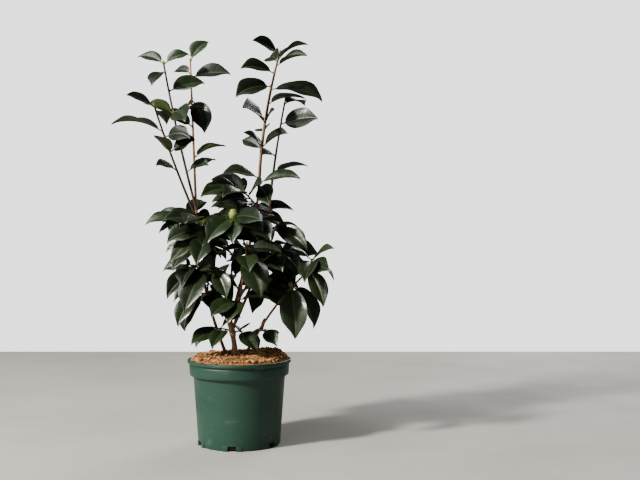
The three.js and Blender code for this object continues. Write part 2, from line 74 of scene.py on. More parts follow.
# A shader node, with values for its own sockets and links to them from other nodes
def addNode(tree, kind, values=(), links=()):
    node = tree.nodes.new(kind)
    for key, value in dict(values).items():
        node.inputs[key].default_value = value
    for key, socket in dict(links).items():
        tree.links.new(socket, node.inputs[key])
    return node


def makeCamera():
    data = bpy.data.cameras.new("camera")
    data.lens = cameraSetup["lens"]
    data.sensor_width = cameraSetup["sensor"]
    camera = addObject("camera", data)
    camera.location = cameraSetup["place"]
    camera.rotation_euler = (90 * degrees, 0, 0)
    bpy.context.scene.camera = camera


# The camera sees the backdrop, and the sky lights the plant.
def makeLights():
    world = bpy.data.worlds.new("studio")
    world.use_nodes = True
    tree = world.node_tree
    sky = tree.nodes["Background"]
    sky.inputs["Color"].default_value = lightSetup["sky"]
    sky.inputs["Strength"].default_value = lightSetup["skyStrength"]
    backdrop = addNode(tree, "ShaderNodeBackground", {
        "Color": lightSetup["backdrop"], "Strength": lightSetup["backdropStrength"],
    })
    mix = addNode(tree, "ShaderNodeMixShader", links={
        "Fac": addNode(tree, "ShaderNodeLightPath").outputs["Is Camera Ray"],
        1: sky.outputs["Background"], 2: backdrop.outputs["Background"],
    })
    tree.links.new(mix.outputs["Shader"], tree.nodes["World Output"].inputs["Surface"])
    bpy.context.scene.world = world
    bpy.context.scene.view_settings.look = "AgX - " + lightSetup["contrast"]
    for name, (place, aim, width, watts, colour) in lightSetup["lamps"].items():
        data = bpy.data.lights.new(name, "AREA")
        data.shape = "DISK"
        data.size = width
        data.energy = watts
        data.color = colour
        lamp = addObject(name, data)
        lamp.location = place
        lamp.rotation_euler = (Vector(aim) - Vector(place)).to_track_quat("-Z", "Y").to_euler()


# Surfaces: the least and the most roughness, relief as scale and depth in millimetres, and what else
# a surface has. The pattern is finer where it is stretched by less than 1.
surfaces = {
    "floor": {"roughness": (0.7, 0.85), "relief": [(90, 0.3)]},
    "plastic": {
        "roughness": (0.36, 0.54), "relief": [(45, 0.05), (900, 0.012)],
        "specular": 0.42, "stretch": (1, 1, 2.6),
    },
    "root": {"roughness": (0.85, 0.97), "relief": [(420, 0.8)]},
    "soil": {"roughness": (0.85, 0.97), "relief": [(420, 0.8), (1500, 0.3)]},
    "chip": {"roughness": (0.8, 0.95), "relief": [(1400, 0.25)], "stretch": (1, 1, 0.3)},
    "trunk": {"roughness": (0.7, 0.88), "relief": [(900, 0.25), (300, 0.3)], "stretch": (1, 1, 0.22)},
    "bough": {"roughness": (0.6, 0.8), "relief": [(900, 0.2), (300, 0.2)], "stretch": (1, 1, 0.22)},
    "twig": {"roughness": (0.5, 0.7), "relief": [(1100, 0.12)], "stretch": (1, 1, 0.2)},
    "youngTwig": {"roughness": (0.45, 0.6), "relief": [(1100, 0.1)], "stretch": (1, 1, 0.2)},
    "dullLeaf": {
        "roughness": (0.34, 0.52), "relief": [(130, 0.22), (520, 0.12)], "specular": 0.28, "coat": 0.08,
    },
    "glossyLeaf": {
        "roughness": (0.29, 0.48), "relief": [(130, 0.22), (520, 0.12)], "specular": 0.55, "coat": 0.42,
    },
    "leafBack": {"roughness": (0.5, 0.62), "relief": [(700, 0.08)]},
    "rib": {"roughness": (0.35, 0.5), "relief": [(700, 0.05)]},
    "stalk": {"roughness": (0.4, 0.55), "relief": [(900, 0.08)]},
    "bud": {"roughness": (0.42, 0.58), "relief": [(700, 0.08)], "sheen": 0.15},
    "leafBud": {"roughness": (0.42, 0.58), "relief": [(900, 0.06)]},
}
# Finishes: the surface, the colour, then each patch laid over it: its colour, scale, from and to
finishLooks = {
    "floorFinish": ("floor", (0.36, 0.35, 0.325), ((0.32, 0.31, 0.285), 3, 0.45, 0.75)),
    "potPlastic": (
        "plastic", (0.0248, 0.0655, 0.047),
        ((0.0190, 0.054, 0.0385), 9, 0.42, 0.68), ((0.060, 0.118, 0.086), 30, 0.62, 0.84),
    ),
    # The root ball's near-black side is partly dark roots and partly painted shade, for the gap between
    # the topping and the pot's lip.
    "darkRootsAndPaintedShade": ("root", (0.008, 0.006, 0.005), ((0.017, 0.012, 0.009), 190, 0.45, 0.65)),
    "soilFinish": ("soil", (0.190, 0.088, 0.038), ((0.27, 0.130, 0.056), 190, 0.42, 0.62)),
    "orangeChip": ("chip", (0.38, 0.185, 0.078), ((0.30, 0.135, 0.056), 330, 0.45, 0.65)),
    "tanChip": ("chip", (0.425, 0.268, 0.122), ((0.345, 0.200, 0.086), 300, 0.45, 0.65)),
    "brownChip": ("chip", (0.22, 0.098, 0.048), ((0.14, 0.060, 0.030), 300, 0.45, 0.65)),
    "trunkBark": (
        "trunk", (0.42, 0.30, 0.19),
        ((0.24, 0.155, 0.098), 240, 0.44, 0.62), ((0.56, 0.45, 0.31), 420, 0.58, 0.72),
    ),
    "redBark": (
        "bough", (0.200, 0.088, 0.045),
        ((0.115, 0.046, 0.027), 240, 0.42, 0.62), ((0.30, 0.165, 0.090), 420, 0.60, 0.74),
    ),
    "brownTwig": ("twig", (0.115, 0.062, 0.036), ((0.06, 0.034, 0.02), 260, 0.42, 0.62)),
    "darkTwig": ("twig", (0.060, 0.036, 0.024), ((0.035, 0.022, 0.015), 260, 0.42, 0.62)),
    # The tan twig finish is the shoots' reddish bark made lighter as if sunlit: painted light.
    "tanTwig": ("twig", (0.33, 0.185, 0.085), ((0.22, 0.105, 0.048), 260, 0.42, 0.62)),
    "greenTwig": ("youngTwig", (0.105, 0.115, 0.040), ((0.10, 0.060, 0.030), 200, 0.45, 0.62)),
    "darkLeaf": ("dullLeaf", (0.0095, 0.0155, 0.0070), ((0.0062, 0.0104, 0.0046), 60, 0.45, 0.7)),
    "deepLeaf": ("glossyLeaf", (0.0138, 0.0228, 0.0091), ((0.0092, 0.0158, 0.0060), 60, 0.45, 0.7)),
    "greenLeaf": ("glossyLeaf", (0.0196, 0.0332, 0.0116), ((0.0140, 0.0242, 0.0078), 60, 0.45, 0.7)),
    "freshLeaf": ("glossyLeaf", (0.0400, 0.0600, 0.0130), ((0.0260, 0.0440, 0.0105), 60, 0.45, 0.7)),
    "leafBack": ("leafBack", (0.042, 0.056, 0.019), ((0.030, 0.042, 0.015), 90, 0.45, 0.7)),
    "leafRib": ("rib", (0.048, 0.068, 0.027), ((0.034, 0.050, 0.019), 150, 0.45, 0.7)),
    "leafStalk": ("stalk", (0.115, 0.120, 0.045), ((0.120, 0.065, 0.032), 160, 0.5, 0.68)),
    "budScale": ("bud", (0.34, 0.42, 0.115), ((0.22, 0.30, 0.070), 160, 0.45, 0.68)),
    "budScaleDark": ("bud", (0.110, 0.160, 0.045), ((0.085, 0.085, 0.034), 160, 0.45, 0.68)),
    "leafBudScale": ("leafBud", (0.150, 0.190, 0.060), ((0.110, 0.100, 0.040), 260, 0.45, 0.68)),
}
# the roughness pattern's grain is finer than the first patch by this share
finishMake = {
    "detail": 4, "grain": 1.7, "grainRange": (0.3, 0.7), "specular": 0.4, "coatRoughness": 0.2,
}
finishes = {}


def noiseSocket(tree, place, scale):
    values = {"Detail": finishMake["detail"], "Scale": scale}
    return addNode(tree, "ShaderNodeTexNoise", values, {"Vector": place}).outputs["Fac"]


def rangeSocket(tree, value, low, high, toLow, toHigh):
    values = {"From Min": low, "From Max": high, "To Min": toLow, "To Max": toHigh}
    return addNode(tree, "ShaderNodeMapRange", values, {"Value": value}).outputs["Result"]


def mixSocket(tree, mask, first, second):
    mix = tree.nodes.new("ShaderNodeMix")
    mix.data_type = "RGBA"
    tree.links.new(mask, mix.inputs["Factor"])
    colours = [socket for socket in mix.inputs if socket.type == "RGBA"]
    for socket, colour in zip(colours, (first, second)):
        if isinstance(colour, tuple):
            socket.default_value = (*colour, 1)
        else:
            tree.links.new(colour, socket)
    return next(socket for socket in mix.outputs if socket.type == "RGBA")


def makeFinish(name, surface, colour, *patches):
    look = surfaces[surface]
    material = bpy.data.materials.new(name)
    material.use_nodes = True
    tree = material.node_tree
    shader = tree.nodes["Principled BSDF"].inputs
    where = addNode(tree, "ShaderNodeTexCoord").outputs["Object"]
    if "stretch" in look:
        mapping = addNode(tree, "ShaderNodeMapping", {"Scale": look["stretch"]}, {"Vector": where})
        where = mapping.outputs["Vector"]
    for patch, scale, low, high in patches:
        mask = rangeSocket(tree, noiseSocket(tree, where, scale), low, high, 0, 1)
        colour = mixSocket(tree, mask, colour, patch)
    tree.links.new(colour, shader["Base Color"])
    grain = noiseSocket(tree, where, patches[0][1] * finishMake["grain"])
    rough = rangeSocket(tree, grain, *finishMake["grainRange"], *look["roughness"])
    tree.links.new(rough, shader["Roughness"])
    normal = None
    for scale, depth in look["relief"]:
        bump = addNode(tree, "ShaderNodeBump", {"Strength": 1, "Distance": depth * millimetre})
        tree.links.new(noiseSocket(tree, where, scale), bump.inputs["Height"])
        if normal:
            tree.links.new(normal, bump.inputs["Normal"])
        normal = bump.outputs["Normal"]
    tree.links.new(normal, shader["Normal"])
    shader["Specular IOR Level"].default_value = look.get("specular", finishMake["specular"])
    if "sheen" in look:
        shader["Sheen Weight"].default_value = look["sheen"]
    if "coat" in look:
        shader["Coat Weight"].default_value = look["coat"]
        shader["Coat Roughness"].default_value = finishMake["coatRoughness"]
        tree.links.new(normal, shader["Coat Normal"])
    finishes[name] = material


# Meshes are made from grids of points in millimetres. A stock gathers the points, and the faces of
# four and of three corners with the number of each face's finish.
def newStock():
    return {"points": [], "count": 0, "quads": ([], []), "corners": ([], [])}


def addPoints(stock, points):
    start = stock["count"]
    stock["points"].append(points.reshape(-1, 3))
    stock["count"] += len(stock["points"][-1])
    return start


def addFaces(stock, kind, faces, finish):
    stock[kind][0].append(faces)
    stock[kind][1].append(np.broadcast_to(np.asarray(finish, np.int32).ravel(), len(faces)))


# A closed skin over rings of points, one ring after another. It is turned right side out.
def addTube(stock, rings, finish=0):
    count, around = rings.shape[:2]
    ends = np.stack([rings[0].mean(0), rings[-1].mean(0)])
    start = addPoints(stock, np.concatenate([rings.reshape(-1, 3), ends]))
    here = np.arange(around)
    after = (here + 1) % around
    row = np.arange(count - 1)[:, None] * around
    quads = [row + here, row + after, row + around + after, row + around + here]
    quads = np.stack(quads, -1).reshape(-1, 4)
    foot = np.stack([after, here, np.full(around, count * around)], -1)
    last = (count - 1) * around
    head = np.stack([last + here, last + after, np.full(around, count * around + 1)], -1)
    corners = np.concatenate([foot, head])
    flat = rings.reshape(-1, 3) - ends[0]
    a, b, c, d = (flat[quads[:, k]] for k in range(4))
    volume = np.einsum("ij,ij->", a, np.cross(b, c)) + np.einsum("ij,ij->", a, np.cross(c, d))
    if volume < 0:
        quads = quads[:, ::-1]
        corners = corners[:, ::-1]
    addFaces(stock, "quads", quads + start, finish)
    addFaces(stock, "corners", corners + start, np.asarray(finish).ravel()[-1])


def makePiece(name, stock, finishNames, replaced=(), sharp=48):
    points = np.concatenate(stock["points"]) * millimetre
    quads = np.concatenate([np.zeros((0, 4), int), *stock["quads"][0]])
    corners = np.concatenate([np.zeros((0, 3), int), *stock["corners"][0]])
    mesh = bpy.data.meshes.new(name)
    mesh.vertices.add(len(points))
    mesh.vertices.foreach_set("co", points.astype(np.float32).ravel())
    used = np.concatenate([quads.ravel(), corners.ravel()])
    mesh.loops.add(len(used))
    mesh.loops.foreach_set("vertex_index", used.astype(np.int32))
    starts = np.concatenate([np.arange(len(quads)) * 4, quads.size + np.arange(len(corners)) * 3])
    mesh.polygons.add(len(starts))
    mesh.polygons.foreach_set("loop_start", starts.astype(np.int32))
    worn = np.concatenate(stock["quads"][1] + stock["corners"][1])
    mesh.polygons.foreach_set("material_index", worn.astype(np.int32))
    for finishName in finishNames:
        mesh.materials.append(finishes[finishName])
    mesh.update(calc_edges=True)
    mesh.shade_smooth()
    mesh.set_sharp_from_angle(angle=sharp * degrees)
    piece = addObject(name, mesh)
    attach(piece, "root")
    if replaced:
        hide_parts(*replaced)
    return piece


# The seeded rule of the solids
shape = {
    "soilCrown": 160, "jointGap": 0.35, "rimRadius": 95,
    "leafLength": 74, "leafBreadth": 0.55, "leafThickness": 1.2,
    "petioleLength": 8, "petioleWidth": 1.7, "bladeStations": (0.2, 0.52, 0.84),
    "lightBearing": 256, "turnToLight": 46, "shootTurn": 14, "shootBroader": 1.12, "spiral": 144,
    # how far growth keeps from other growth, and how near a face has to be to be tested
    "clearance": 0.8, "nearFace": 25,
    # how much longer than wide a flower bud is
    "budStretch": 1.4,
}
ground = shape["soilCrown"] + shape["jointGap"]
# The crown keeps above the foot, and beyond the rim and its margin it may hang lower.
crown = {
    "left": -246, "right": 176, "front": -165, "back": 150, "top": 762,
    "foot": 168, "rimMargin": 4, "overhang": 20,
}
# root and tip radius, sides and steps
stemKinds = {
    "shoot": (1.7, 0.9, 5, 5), "branch": (1.5, 1, 4, 3),
    "twig": (1.1, 0.8, 4, 2), "fineTwig": (0.95, 0.65, 4, 2),
}
# what a leaf and a twig draw, from and to
leafDraws = {
    "droop": (24, 58), "roll": (-14, 14), "sweep": (-14, 14), "fold": (10, 24), "broader": (0.88, 1.1),
}
twigDraws = {"share": (0.4, 0.5), "reach": (0.4, 0.55), "lift": (10, 40)}
# The spiral's leaves rise from the first to the last of a stem, and draw the rest besides.
spiralMake = {
    "onBranch": (0.3, 0.995), "onTwig": (0.55, 0.995), "twigLeaves": 3, "leafLift": -16, "rise": 14,
    "turn": (-20, 20), "lift": (-20, 20), "longer": (0.84, 1.14),
}


def seededDraws(seed):
    state = seed

    def draw(low, high):
        nonlocal state
        state = (state * 1664525 + 1013904223) % 4294967296
        return low + (high - low) * state / 4294967296

    return draw


def heading(bearing, lift):
    turn, rise = np.multiply(bearing, degrees), np.multiply(lift, degrees)
    parts = np.cos(turn) * np.cos(rise), np.sin(turn) * np.cos(rise), np.sin(rise)
    return np.stack(np.broadcast_arrays(*parts), -1)


def unit(way):
    return way / np.linalg.norm(way, axis=-1, keepdims=True)


def stemAlong(start, end, bow, rootRadius, tipRadius, sides=6, steps=6, flare=0, flatFoot=False):
    start, end, bow = (np.array(point, float) for point in (start, end, bow))
    return {
        "curve": (start, (start + end) * 0.5 + bow, end), "root": rootRadius, "tip": tipRadius,
        "sides": sides, "steps": steps, "flare": flare, "flatFoot": flatFoot,
    }


def pointOn(stem, share):
    first, control, last = stem["curve"]
    share = np.asarray(share, float)[..., None]
    return (1 - share) ** 2 * first + 2 * (1 - share) * share * control + share**2 * last


def tangentOn(stem, share):
    first, control, last = stem["curve"]
    middle = ((np.clip(share + 1e-4, 0, 1) + np.clip(share - 1e-4, 0, 1)) / 2)[..., None]
    return unit(2 * (1 - middle) * (control - first) + 2 * middle * (last - control))


def chordOf(stem):
    return float(np.linalg.norm(stem["curve"][2] - stem["curve"][0]))


def stemFrame(stem, shares):
    chord = stem["curve"][2] - stem["curve"][0]
    upright = abs(chord[2]) > 0.7 * np.linalg.norm(chord)
    reference = np.array((1.0, 0, 0) if upright else (0, 0, 1.0))
    along = tangentOn(stem, shares)
    if stem["flatFoot"]:
        along[shares == 0] = (0, 0, 1)
    side = unit(reference - along * (along @ reference)[:, None])
    return side, np.cross(side, along)


def stemRings(stem, shares, sides, swell=0.0):
    side, up = stemFrame(stem, shares)
    radius = stem["root"] + (stem["tip"] - stem["root"]) * shares
    radius = (radius + stem["flare"] * np.exp(-shares * chordOf(stem) / 7))[:, None] + swell
    turn = np.arange(sides) / sides * 2 * math.pi
    across = side[:, None] * np.sin(turn)[None, :, None] + up[:, None] * np.cos(turn)[None, :, None]
    return pointOn(stem, shares)[:, None] + across * radius[..., None]


def bladeHalfWidth(share):
    return share**0.75 * (1 - share) ** 0.85 / 0.331


# Shells are the plain solids, with which the rule tells what touches.
def shellOf(points, faces):
    points = points.astype(np.float32).astype(float)
    faces = np.asarray(faces)
    edges = np.concatenate([faces[:, [0, 1]], faces[:, [1, 2]], faces[:, [2, 0]]])
    edges = edges[edges[:, 0] < edges[:, 1]]
    a, b, c = (points[faces[:, k]] for k in range(3))
    normal = np.cross(b - a, c - a)
    p, q = points[edges[:, 0]], points[edges[:, 1]]
    return {
        "points": points, "low": points.min(0), "high": points.max(0),
        "corners": np.stack([a, b, c], 1), "normal": normal,
        "sides": [(np.cross(a, b), b - a), (np.cross(b, c), c - b), (np.cross(c, a), a - c)],
        "level": np.einsum("ij,ij->i", normal, a),
        "p": p, "q": q, "way": q - p, "moment": np.cross(p, q - p),
    }


# The faces from each of some rings of points to the next ring
def ringFaces(first, around, count):
    faces = []
    for ring in range(count):
        for k in range(around):
            a, b = first + ring * around + k, first + ring * around + (k + 1) % around
            faces += [(a, b, b + around), (a, b + around, a + around)]
    return faces


def stemShell(stem, swell=0.0):
    sides, steps = stem["sides"], stem["steps"]
    rings = stemRings(stem, np.arange(steps + 1) / steps, sides, swell)
    points = np.concatenate([rings.reshape(-1, 3), stem["curve"][2][None], stem["curve"][0][None]])
    faces = ringFaces(0, sides, steps)
    top = (steps + 1) * sides
    for k in range(sides):
        after = (k + 1) % sides
        faces += [(steps * sides + k, steps * sides + after, top), (after, k, top + 1)]
    return shellOf(points, faces)


def leafAxes(leaf, share):
    bearing = leaf["bearing"] + leaf["sweep"] * share
    lift = leaf["lift"] - leaf["droop"] * share
    level = heading(bearing - 90, 0 * share)
    above = heading(bearing, lift + 90)
    cosine, sine = math.cos(leaf["roll"] * degrees), math.sin(leaf["roll"] * degrees)
    return level * cosine + above * sine, above * cosine - level * sine


def leafShell(leaf, swell=0.0, fromStation=0):
    half = shape["petioleWidth"] / 2
    stations = [(0, 0, half), (shape["petioleLength"], 0, half)]
    for share in shape["bladeStations"]:
        width = bladeHalfWidth(share) * leaf["length"] * leaf["breadth"] / 2
        stations.append((shape["petioleLength"] + share * leaf["length"], share, width))
    stations.append((shape["petioleLength"] + leaf["length"], 1, 0))
    middle = leaf["root"]
    points = []
    for i, (along, share, width) in enumerate(stations):
        if i > 0:
            before, shareBefore, _ = stations[i - 1]
            between = (share + shareBefore) / 2
            lift = leaf["lift"] - leaf["droop"] * between
            way = heading(leaf["bearing"] + leaf["sweep"] * between, lift)
            middle = middle + way * (along - before)
        if i < fromStation:
            continue
        if width == 0:
            points.append(middle)
            continue
        side, top = leafAxes(leaf, share)
        thick = shape["leafThickness"] / 2 + swell
        fold = leaf["fold"] * degrees if i > 1 else 0
        out, rise = (width + swell) * math.cos(fold), (width + swell) * math.sin(fold)
        points += [middle + top * thick, middle + side * out + top * rise]
        points += [middle - top * thick, middle - side * out + top * rise]
    last = len(points) - 5
    faces = [(0, 3, 2), (0, 2, 1), *ringFaces(0, 4, last // 4)]
    faces += [(last + k, last + (k + 1) % 4, last + 4) for k in range(4)]
    return shellOf(np.array(points), faces)


def edgesPass(edges, faces):
    near = np.clip(faces["corners"], edges["low"], edges["high"]) - faces["corners"]
    close = (np.linalg.norm(near, axis=2) < shape["nearFace"]).any(1)
    if not close.any():
        return False
    signs = []
    for area, side in faces["sides"]:
        signs.append(edges["way"] @ area[close].T + edges["moment"] @ side[close].T)
    one, two, three = signs
    through = (one * two >= 0) & (one * three >= 0) & (two * three >= 0)
    if not through.any():
        return False
    normal, level = faces["normal"][close], faces["level"][close]
    here, there = edges["p"] @ normal.T - level, edges["q"] @ normal.T - level
    return bool((through & (here * there <= 0)).any())


def touch(one, two):
    if (one["high"] < two["low"]).any() or (two["high"] < one["low"]).any():
        return False
    return edgesPass(one, two) or edgesPass(two, one)


grown = []
limbs = {}
masses = {}


def standsClear(shell, blade, mass, ownStem):
    for other in grown:
        if other["stem"] is ownStem:
            continue
        if touch(blade if other["mass"] is mass else shell, other["shell"]):
            return False
    return True


def insideCrown(points):
    x, y, z = points.T
    overPot = np.hypot(x, y) < shape["rimRadius"] + crown["rimMargin"]
    floor = np.where(overPot, crown["foot"], crown["foot"] - crown["overhang"])
    inside = (x > crown["left"]) & (x < crown["right"]) & (y > crown["front"]) & (y < crown["back"])
    return bool((inside & (z < crown["top"]) & (z > floor)).all())


# foot or parent and share, head, bow, root and tip radius, flare, sides
limbPlan = {
    "trunk": ((-8, 0), (-19, 3, 226), (4, 0, 0), 4.9, 4.1, 2.2, 8),
    "left_stem": ((-25, 9), (-79, -6, 430), (-26, 0, 0), 2.8, 2.1, 1, 6),
    "right_stem": ((10, -6), (124, -26, 314), (-11, 0, 14), 2.5, 1.6, 1, 6),
    "leader": (("trunk", 0.93), (36, 6, 470), (11, 0, 4), 3.3, 2.1, 0, 6),
    "red_bough": (("trunk", 0.86), (-41, -20, 350), (-26, -8, 2), 2.7, 1.8, 0, 6),
    "right_bough": (("trunk", 0.72), (56, 18, 452), (27, 6, 4), 2.8, 1.9, 0, 6),
    "back_bough": (("trunk", 0.8), (-12, 62, 372), (-14, 24, -10), 2.5, 1.6, 0, 6),
    "front_bough": (("trunk", 0.62), (16, -56, 338), (4, -22, -4), 2.3, 1.5, 0, 6),
}
# limb, share, head, bow, seed and twig finish, then share, bearing, lift, length and roll of each leaf
shootPlan = {
    "far_left_shoot": ("left_stem", 0.94, (-151, -34, 616), (-6, 0, 0), 11, "darkTwig", [
        (0.57, 248, 28, 58, 10), (0.72, 325, -8, 60), (0.77, 180, 7, 98, -46), (0.96, 75, -25, 50),
        (0.985, 215, 16, 56), (0.59, 318, 10, 58, -14), (0.42, 222, 6, 48),
    ]),
    "left_shoot": ("left_stem", 1, (-139, -8, 700), (-6, 0, 0), 12, "darkTwig", [
        (0.66, 302, -20, 74), (0.645, 183, 18, 50), (0.64, 342, 4, 54, 36), (0.8, 18, 15, 67, -8),
        (0.93, 251, -36, 58), (0.985, 158, 15, 56, -14), (0.985, 12, 21, 50), (0.25, 330, 8, 54),
    ]),
    # This shoot and the inner right one wear the tan twig finish, which is painted sunlight on their
    # bark.
    "inner_left_shoot": ("left_stem", 0.98, (-96, 36, 712), (0, 0, 0), 13, "tanTwig", [
        (0.55, 186, 27, 60), (0.28, 54, 18, 60), (0.35, 28, 19, 68, 31), (0.735, 322, -64, 72),
        (0.7, 115, -2, 52), (0.885, 353, 3, 74), (0.905, 140, 6, 46), (0.99, 32, 44, 58),
    ]),
    "middle_shoot": ("leader", 1, (75, -14, 716), (-14, 0, 0), 14, "brownTwig", [
        (0.07, 210, 5, 72, -14), (0.04, 340, 3, 80, 34), (0.02, 294, -36, 68), (0.3, 228, 26, 50, 15),
        (0.28, 120, 14, 54), (0.3, 326, 19, 62, 16), (0.48, 237, 13, 78, 44), (0.75, 205, -20, 74),
        (0.845, 208, 2, 66), (0.99, 212, 16, 58, 12), (0.47, 300, 28, 42),
    ]),
    "inner_right_shoot": ("leader", 0.96, (69, 34, 712), (-16, 0, 0), 15, "tanTwig", [
        (0.45, 95, 10, 60), (0.66, 18, 8, 78, 25), (0.775, 350, -15, 104, 44), (0.95, 335, 11, 66, 46),
        (0.98, 110, 14, 60), (0.995, 22, 27, 70, 34),
    ]),
    "right_shoot": ("right_bough", 1, (83, 22, 632), (-4, 0, 0), 16, "brownTwig", [
        (0.26, 22, 11, 72, 28), (0.43, 205, 14, 40), (0.76, 344, 6, 72, -16), (0.97, 70, 10, 62),
    ]),
}
# limb, share, bearing, lift, reach, seed, count of spiral leaves, then what a branch has besides
massPlan = {
    "left_top_mass": ("left_stem", 0.86, 204, 50, 30, 21, 5, {
        "leaves": [(0.9, 205, -10, 78), (0.97, 157, -5, 70), (0.3, 145, -9, 70), (0.75, 243, -24, 66)],
    }),
    "left_front_mass": ("left_stem", 0.72, 262, 34, 40, 22, 7, {"twig": 320, "fallen": (2, 8)}),
    "left_back_mass": ("left_stem", 0.64, 104, 42, 70, 23, 8, {"twig": 60, "fallen": (10,)}),
    "left_middle_mass": ("left_stem", 0.58, 196, 30, 18, 24, 5, {
        "leaves": [(0.6, 165, -38, 66), (0.9, 140, -18, 66)], "leafLift": -30,
    }),
    "left_low_mass": ("left_stem", 0.42, 222, 0, 22, 25, 5, {
        "leaves": [(0.9, 232, -46, 76)], "leafLift": -50, "fallen": (3,),
    }),
    "red_top_mass": ("red_bough", 1, 230, 62, 64, 26, 6, {
        "leaves": [(0.9, 188, -4, 76), (0.62, 202, -40, 90), (0.5, 241, -52, 80)],
        "twig": 322, "buds": (4.7, 3.4), "fallen": (0, 3, 8),
    }),
    "red_low_mass": ("red_bough", 0.7, 222, 16, 26, 27, 5, {
        "leaves": [(0.95, 252, -46, 98)], "leafLift": -40, "fallen": (3,),
    }),
    "centre_left_mass": ("leader", 0.86, 202, 42, 48, 28, 6, {
        "leaves": [(0.98, 205, -14, 76), (0.5, 224, -14, 76), (0.5, 162, 22, 76)],
    }),
    "centre_front_mass": ("leader", 0.5, 248, 50, 88, 29, 6, {
        "leaves": [
            (0.96, 231, -34, 80), (0.92, 274, -42, 66), (0.86, 314, -18, 74),
            (0.98, 345, -24, 76), (0.99, 130, -10, 66),
        ],
        "twig": 300, "buds": (6.8,),
    }),
    "centre_back_mass": ("leader", 0.62, 92, 48, 92, 30, 9, {"twig": 132, "fallen": (7,)}),
    "right_top_mass": ("right_bough", 0.74, 340, 20, 16, 31, 6, {"leaves": [(0.9, 338, -30, 82)]}),
    "right_front_mass": ("right_bough", 0.44, 326, 36, 62, 32, 5, {
        "leaves": [(0.95, 346, -14, 76), (0.98, 318, -40, 68), (0.8, 298, -42, 68)],
        "twig": 290, "leafLift": -28, "buds": (6,), "fallen": (2, 4, 7),
    }),
    "right_back_mass": ("right_bough", 0.36, 48, 42, 70, 33, 7, {
        "leaves": [(0.85, 330, -55, 84)], "twig": 10, "fallen": (1,),
    }),
    "right_middle_mass": ("right_bough", 0.26, 352, 30, 40, 43, 7, {"leafLift": -34}),
    "right_stem_mass": ("right_stem", 0.98, 350, 62, 28, 34, 3, {
        "leaves": [(0.3, 322, -60, 76), (0.4, 12, -42, 80), (0.97, 196, 16, 52), (0.99, 350, 4, 54)],
        "leafLift": -24,
    }),
    "right_low_mass": ("right_stem", 0.8, 262, 16, 14, 35, 0, {
        "leaves": [(0.9, 284, -72, 98), (0.6, 8, -64, 90)], "buds": (3.4,),
    }),
    "back_left_mass": ("left_stem", 0.4, 96, 30, 54, 44, 8, {"leafLift": -30}),
    "back_top_mass": ("back_bough", 0.98, 104, 56, 60, 36, 8, {"buds": (5,), "fallen": (0,)}),
    "back_low_mass": ("back_bough", 0.5, 150, 30, 50, 37, 8, {"leafLift": -30}),
    "back_right_mass": ("back_bough", 0.7, 44, 26, 52, 42, 8, {"leafLift": -22, "fallen": (3, 6, 7)}),
    "front_top_mass": ("front_bough", 0.98, 280, 50, 40, 38, 7, {
        "leaves": [(0.3, 300, -54, 90)], "leafLift": -24, "fallen": (1, 2, 5),
    }),
    "front_low_mass": ("front_bough", 0.46, 262, 10, 18, 39, 3, {
        "leaves": [(0.85, 236, -20, 74)], "leafLift": -40,
    }),
    "foot_left_mass": ("trunk", 0.66, 200, 16, 24, 40, 2, {
        "leaves": [(0.95, 224, -22, 68), (0.45, 250, -30, 62), (0.8, 150, -20, 60)],
        "leafLift": -20, "fallen": (0,), "fine": 0,
    }),
    "foot_right_mass": ("trunk", 0.6, 318, 20, 20, 41, 2, {
        "leaves": [(0.95, 306, -32, 66)], "leafLift": -20, "fallen": (0,),
    }),
    "foot_side_mass": ("right_stem", 0.26, 330, 10, 12, 45, 2, {
        "leaves": [(0.8, 302, -26, 54), (0.95, 62, -20, 54)], "leafLift": -18,
    }),
}
turns = [(0, 0), (18, 8), (-18, -8), (34, -18), (-34, 18), (52, -6), (-52, 10), (75, -25), (-75, -25)]


def noteGrown(mass, stem, shell):
    grown.append({"mass": mass, "stem": stem, "shell": shell})


def startMass(name, stem):
    masses[name] = {"stems": [stem], "leaves": [], "buds": []}
    noteGrown(masses[name], stem, stemShell(stem))


# A branch or twig from a share of a stem, bowed upwards
def branchFrom(stem, share, bearing, lift, reach, kind, bow=0.1):
    root = pointOn(stem, share)
    tip = root + heading(bearing, lift) * reach
    return stemAlong(root, tip, (0, 0, reach * bow), *stemKinds[kind])


def leafFrom(draw, stem, share, bearing, lift, length, roll=0):
    droop = draw(*leafDraws["droop"])
    roll = roll + draw(*leafDraws["roll"])
    roll -= shape["turnToLight"] * math.sin((bearing - shape["lightBearing"]) * degrees)
    return {
        "stem": stem, "root": pointOn(stem, share), "bearing": bearing, "lift": lift + droop / 2,
        "droop": droop, "length": length - shape["petioleLength"] / 2, "roll": roll,
        "sweep": draw(*leafDraws["sweep"]), "fold": draw(*leafDraws["fold"]),
        "breadth": shape["leafBreadth"] * draw(*leafDraws["broader"]),
    }


# A leaf that would touch something is turned a little, a few times over, before it is left out.
def growLeaf(mass, leaf, inside=insideCrown):
    for turn, raised in turns:
        placed = {**leaf, "bearing": leaf["bearing"] + turn, "lift": leaf["lift"] + raised}
        blade = leafShell(placed, shape["clearance"], 1)
        if not inside(blade["points"]):
            continue
        if standsClear(leafShell(placed, shape["clearance"]), blade, mass, leaf["stem"]):
            mass["leaves"].append(placed)
            noteGrown(mass, placed, leafShell(placed))
            return


def growLimbs():
    for name, (foot, head, bow, root, tip, flare, sides) in limbPlan.items():
        planted = name in ("trunk", "left_stem", "right_stem")
        start = (*foot, ground) if planted else pointOn(limbs[foot[0]], foot[1])
        stem = stemAlong(start, head, bow, root, tip, sides, 7, flare, planted)
        limbs[name] = stem
        noteGrown(None, stem, stemShell(stem))


def addTwig(mass, parent, twig, inside):
    shell = stemShell(twig, shape["clearance"])
    if not inside(shell["points"]) or not standsClear(shell, shell, mass, parent):
        return False
    mass["stems"].append(twig)
    noteGrown(mass, twig, stemShell(twig))
    return True


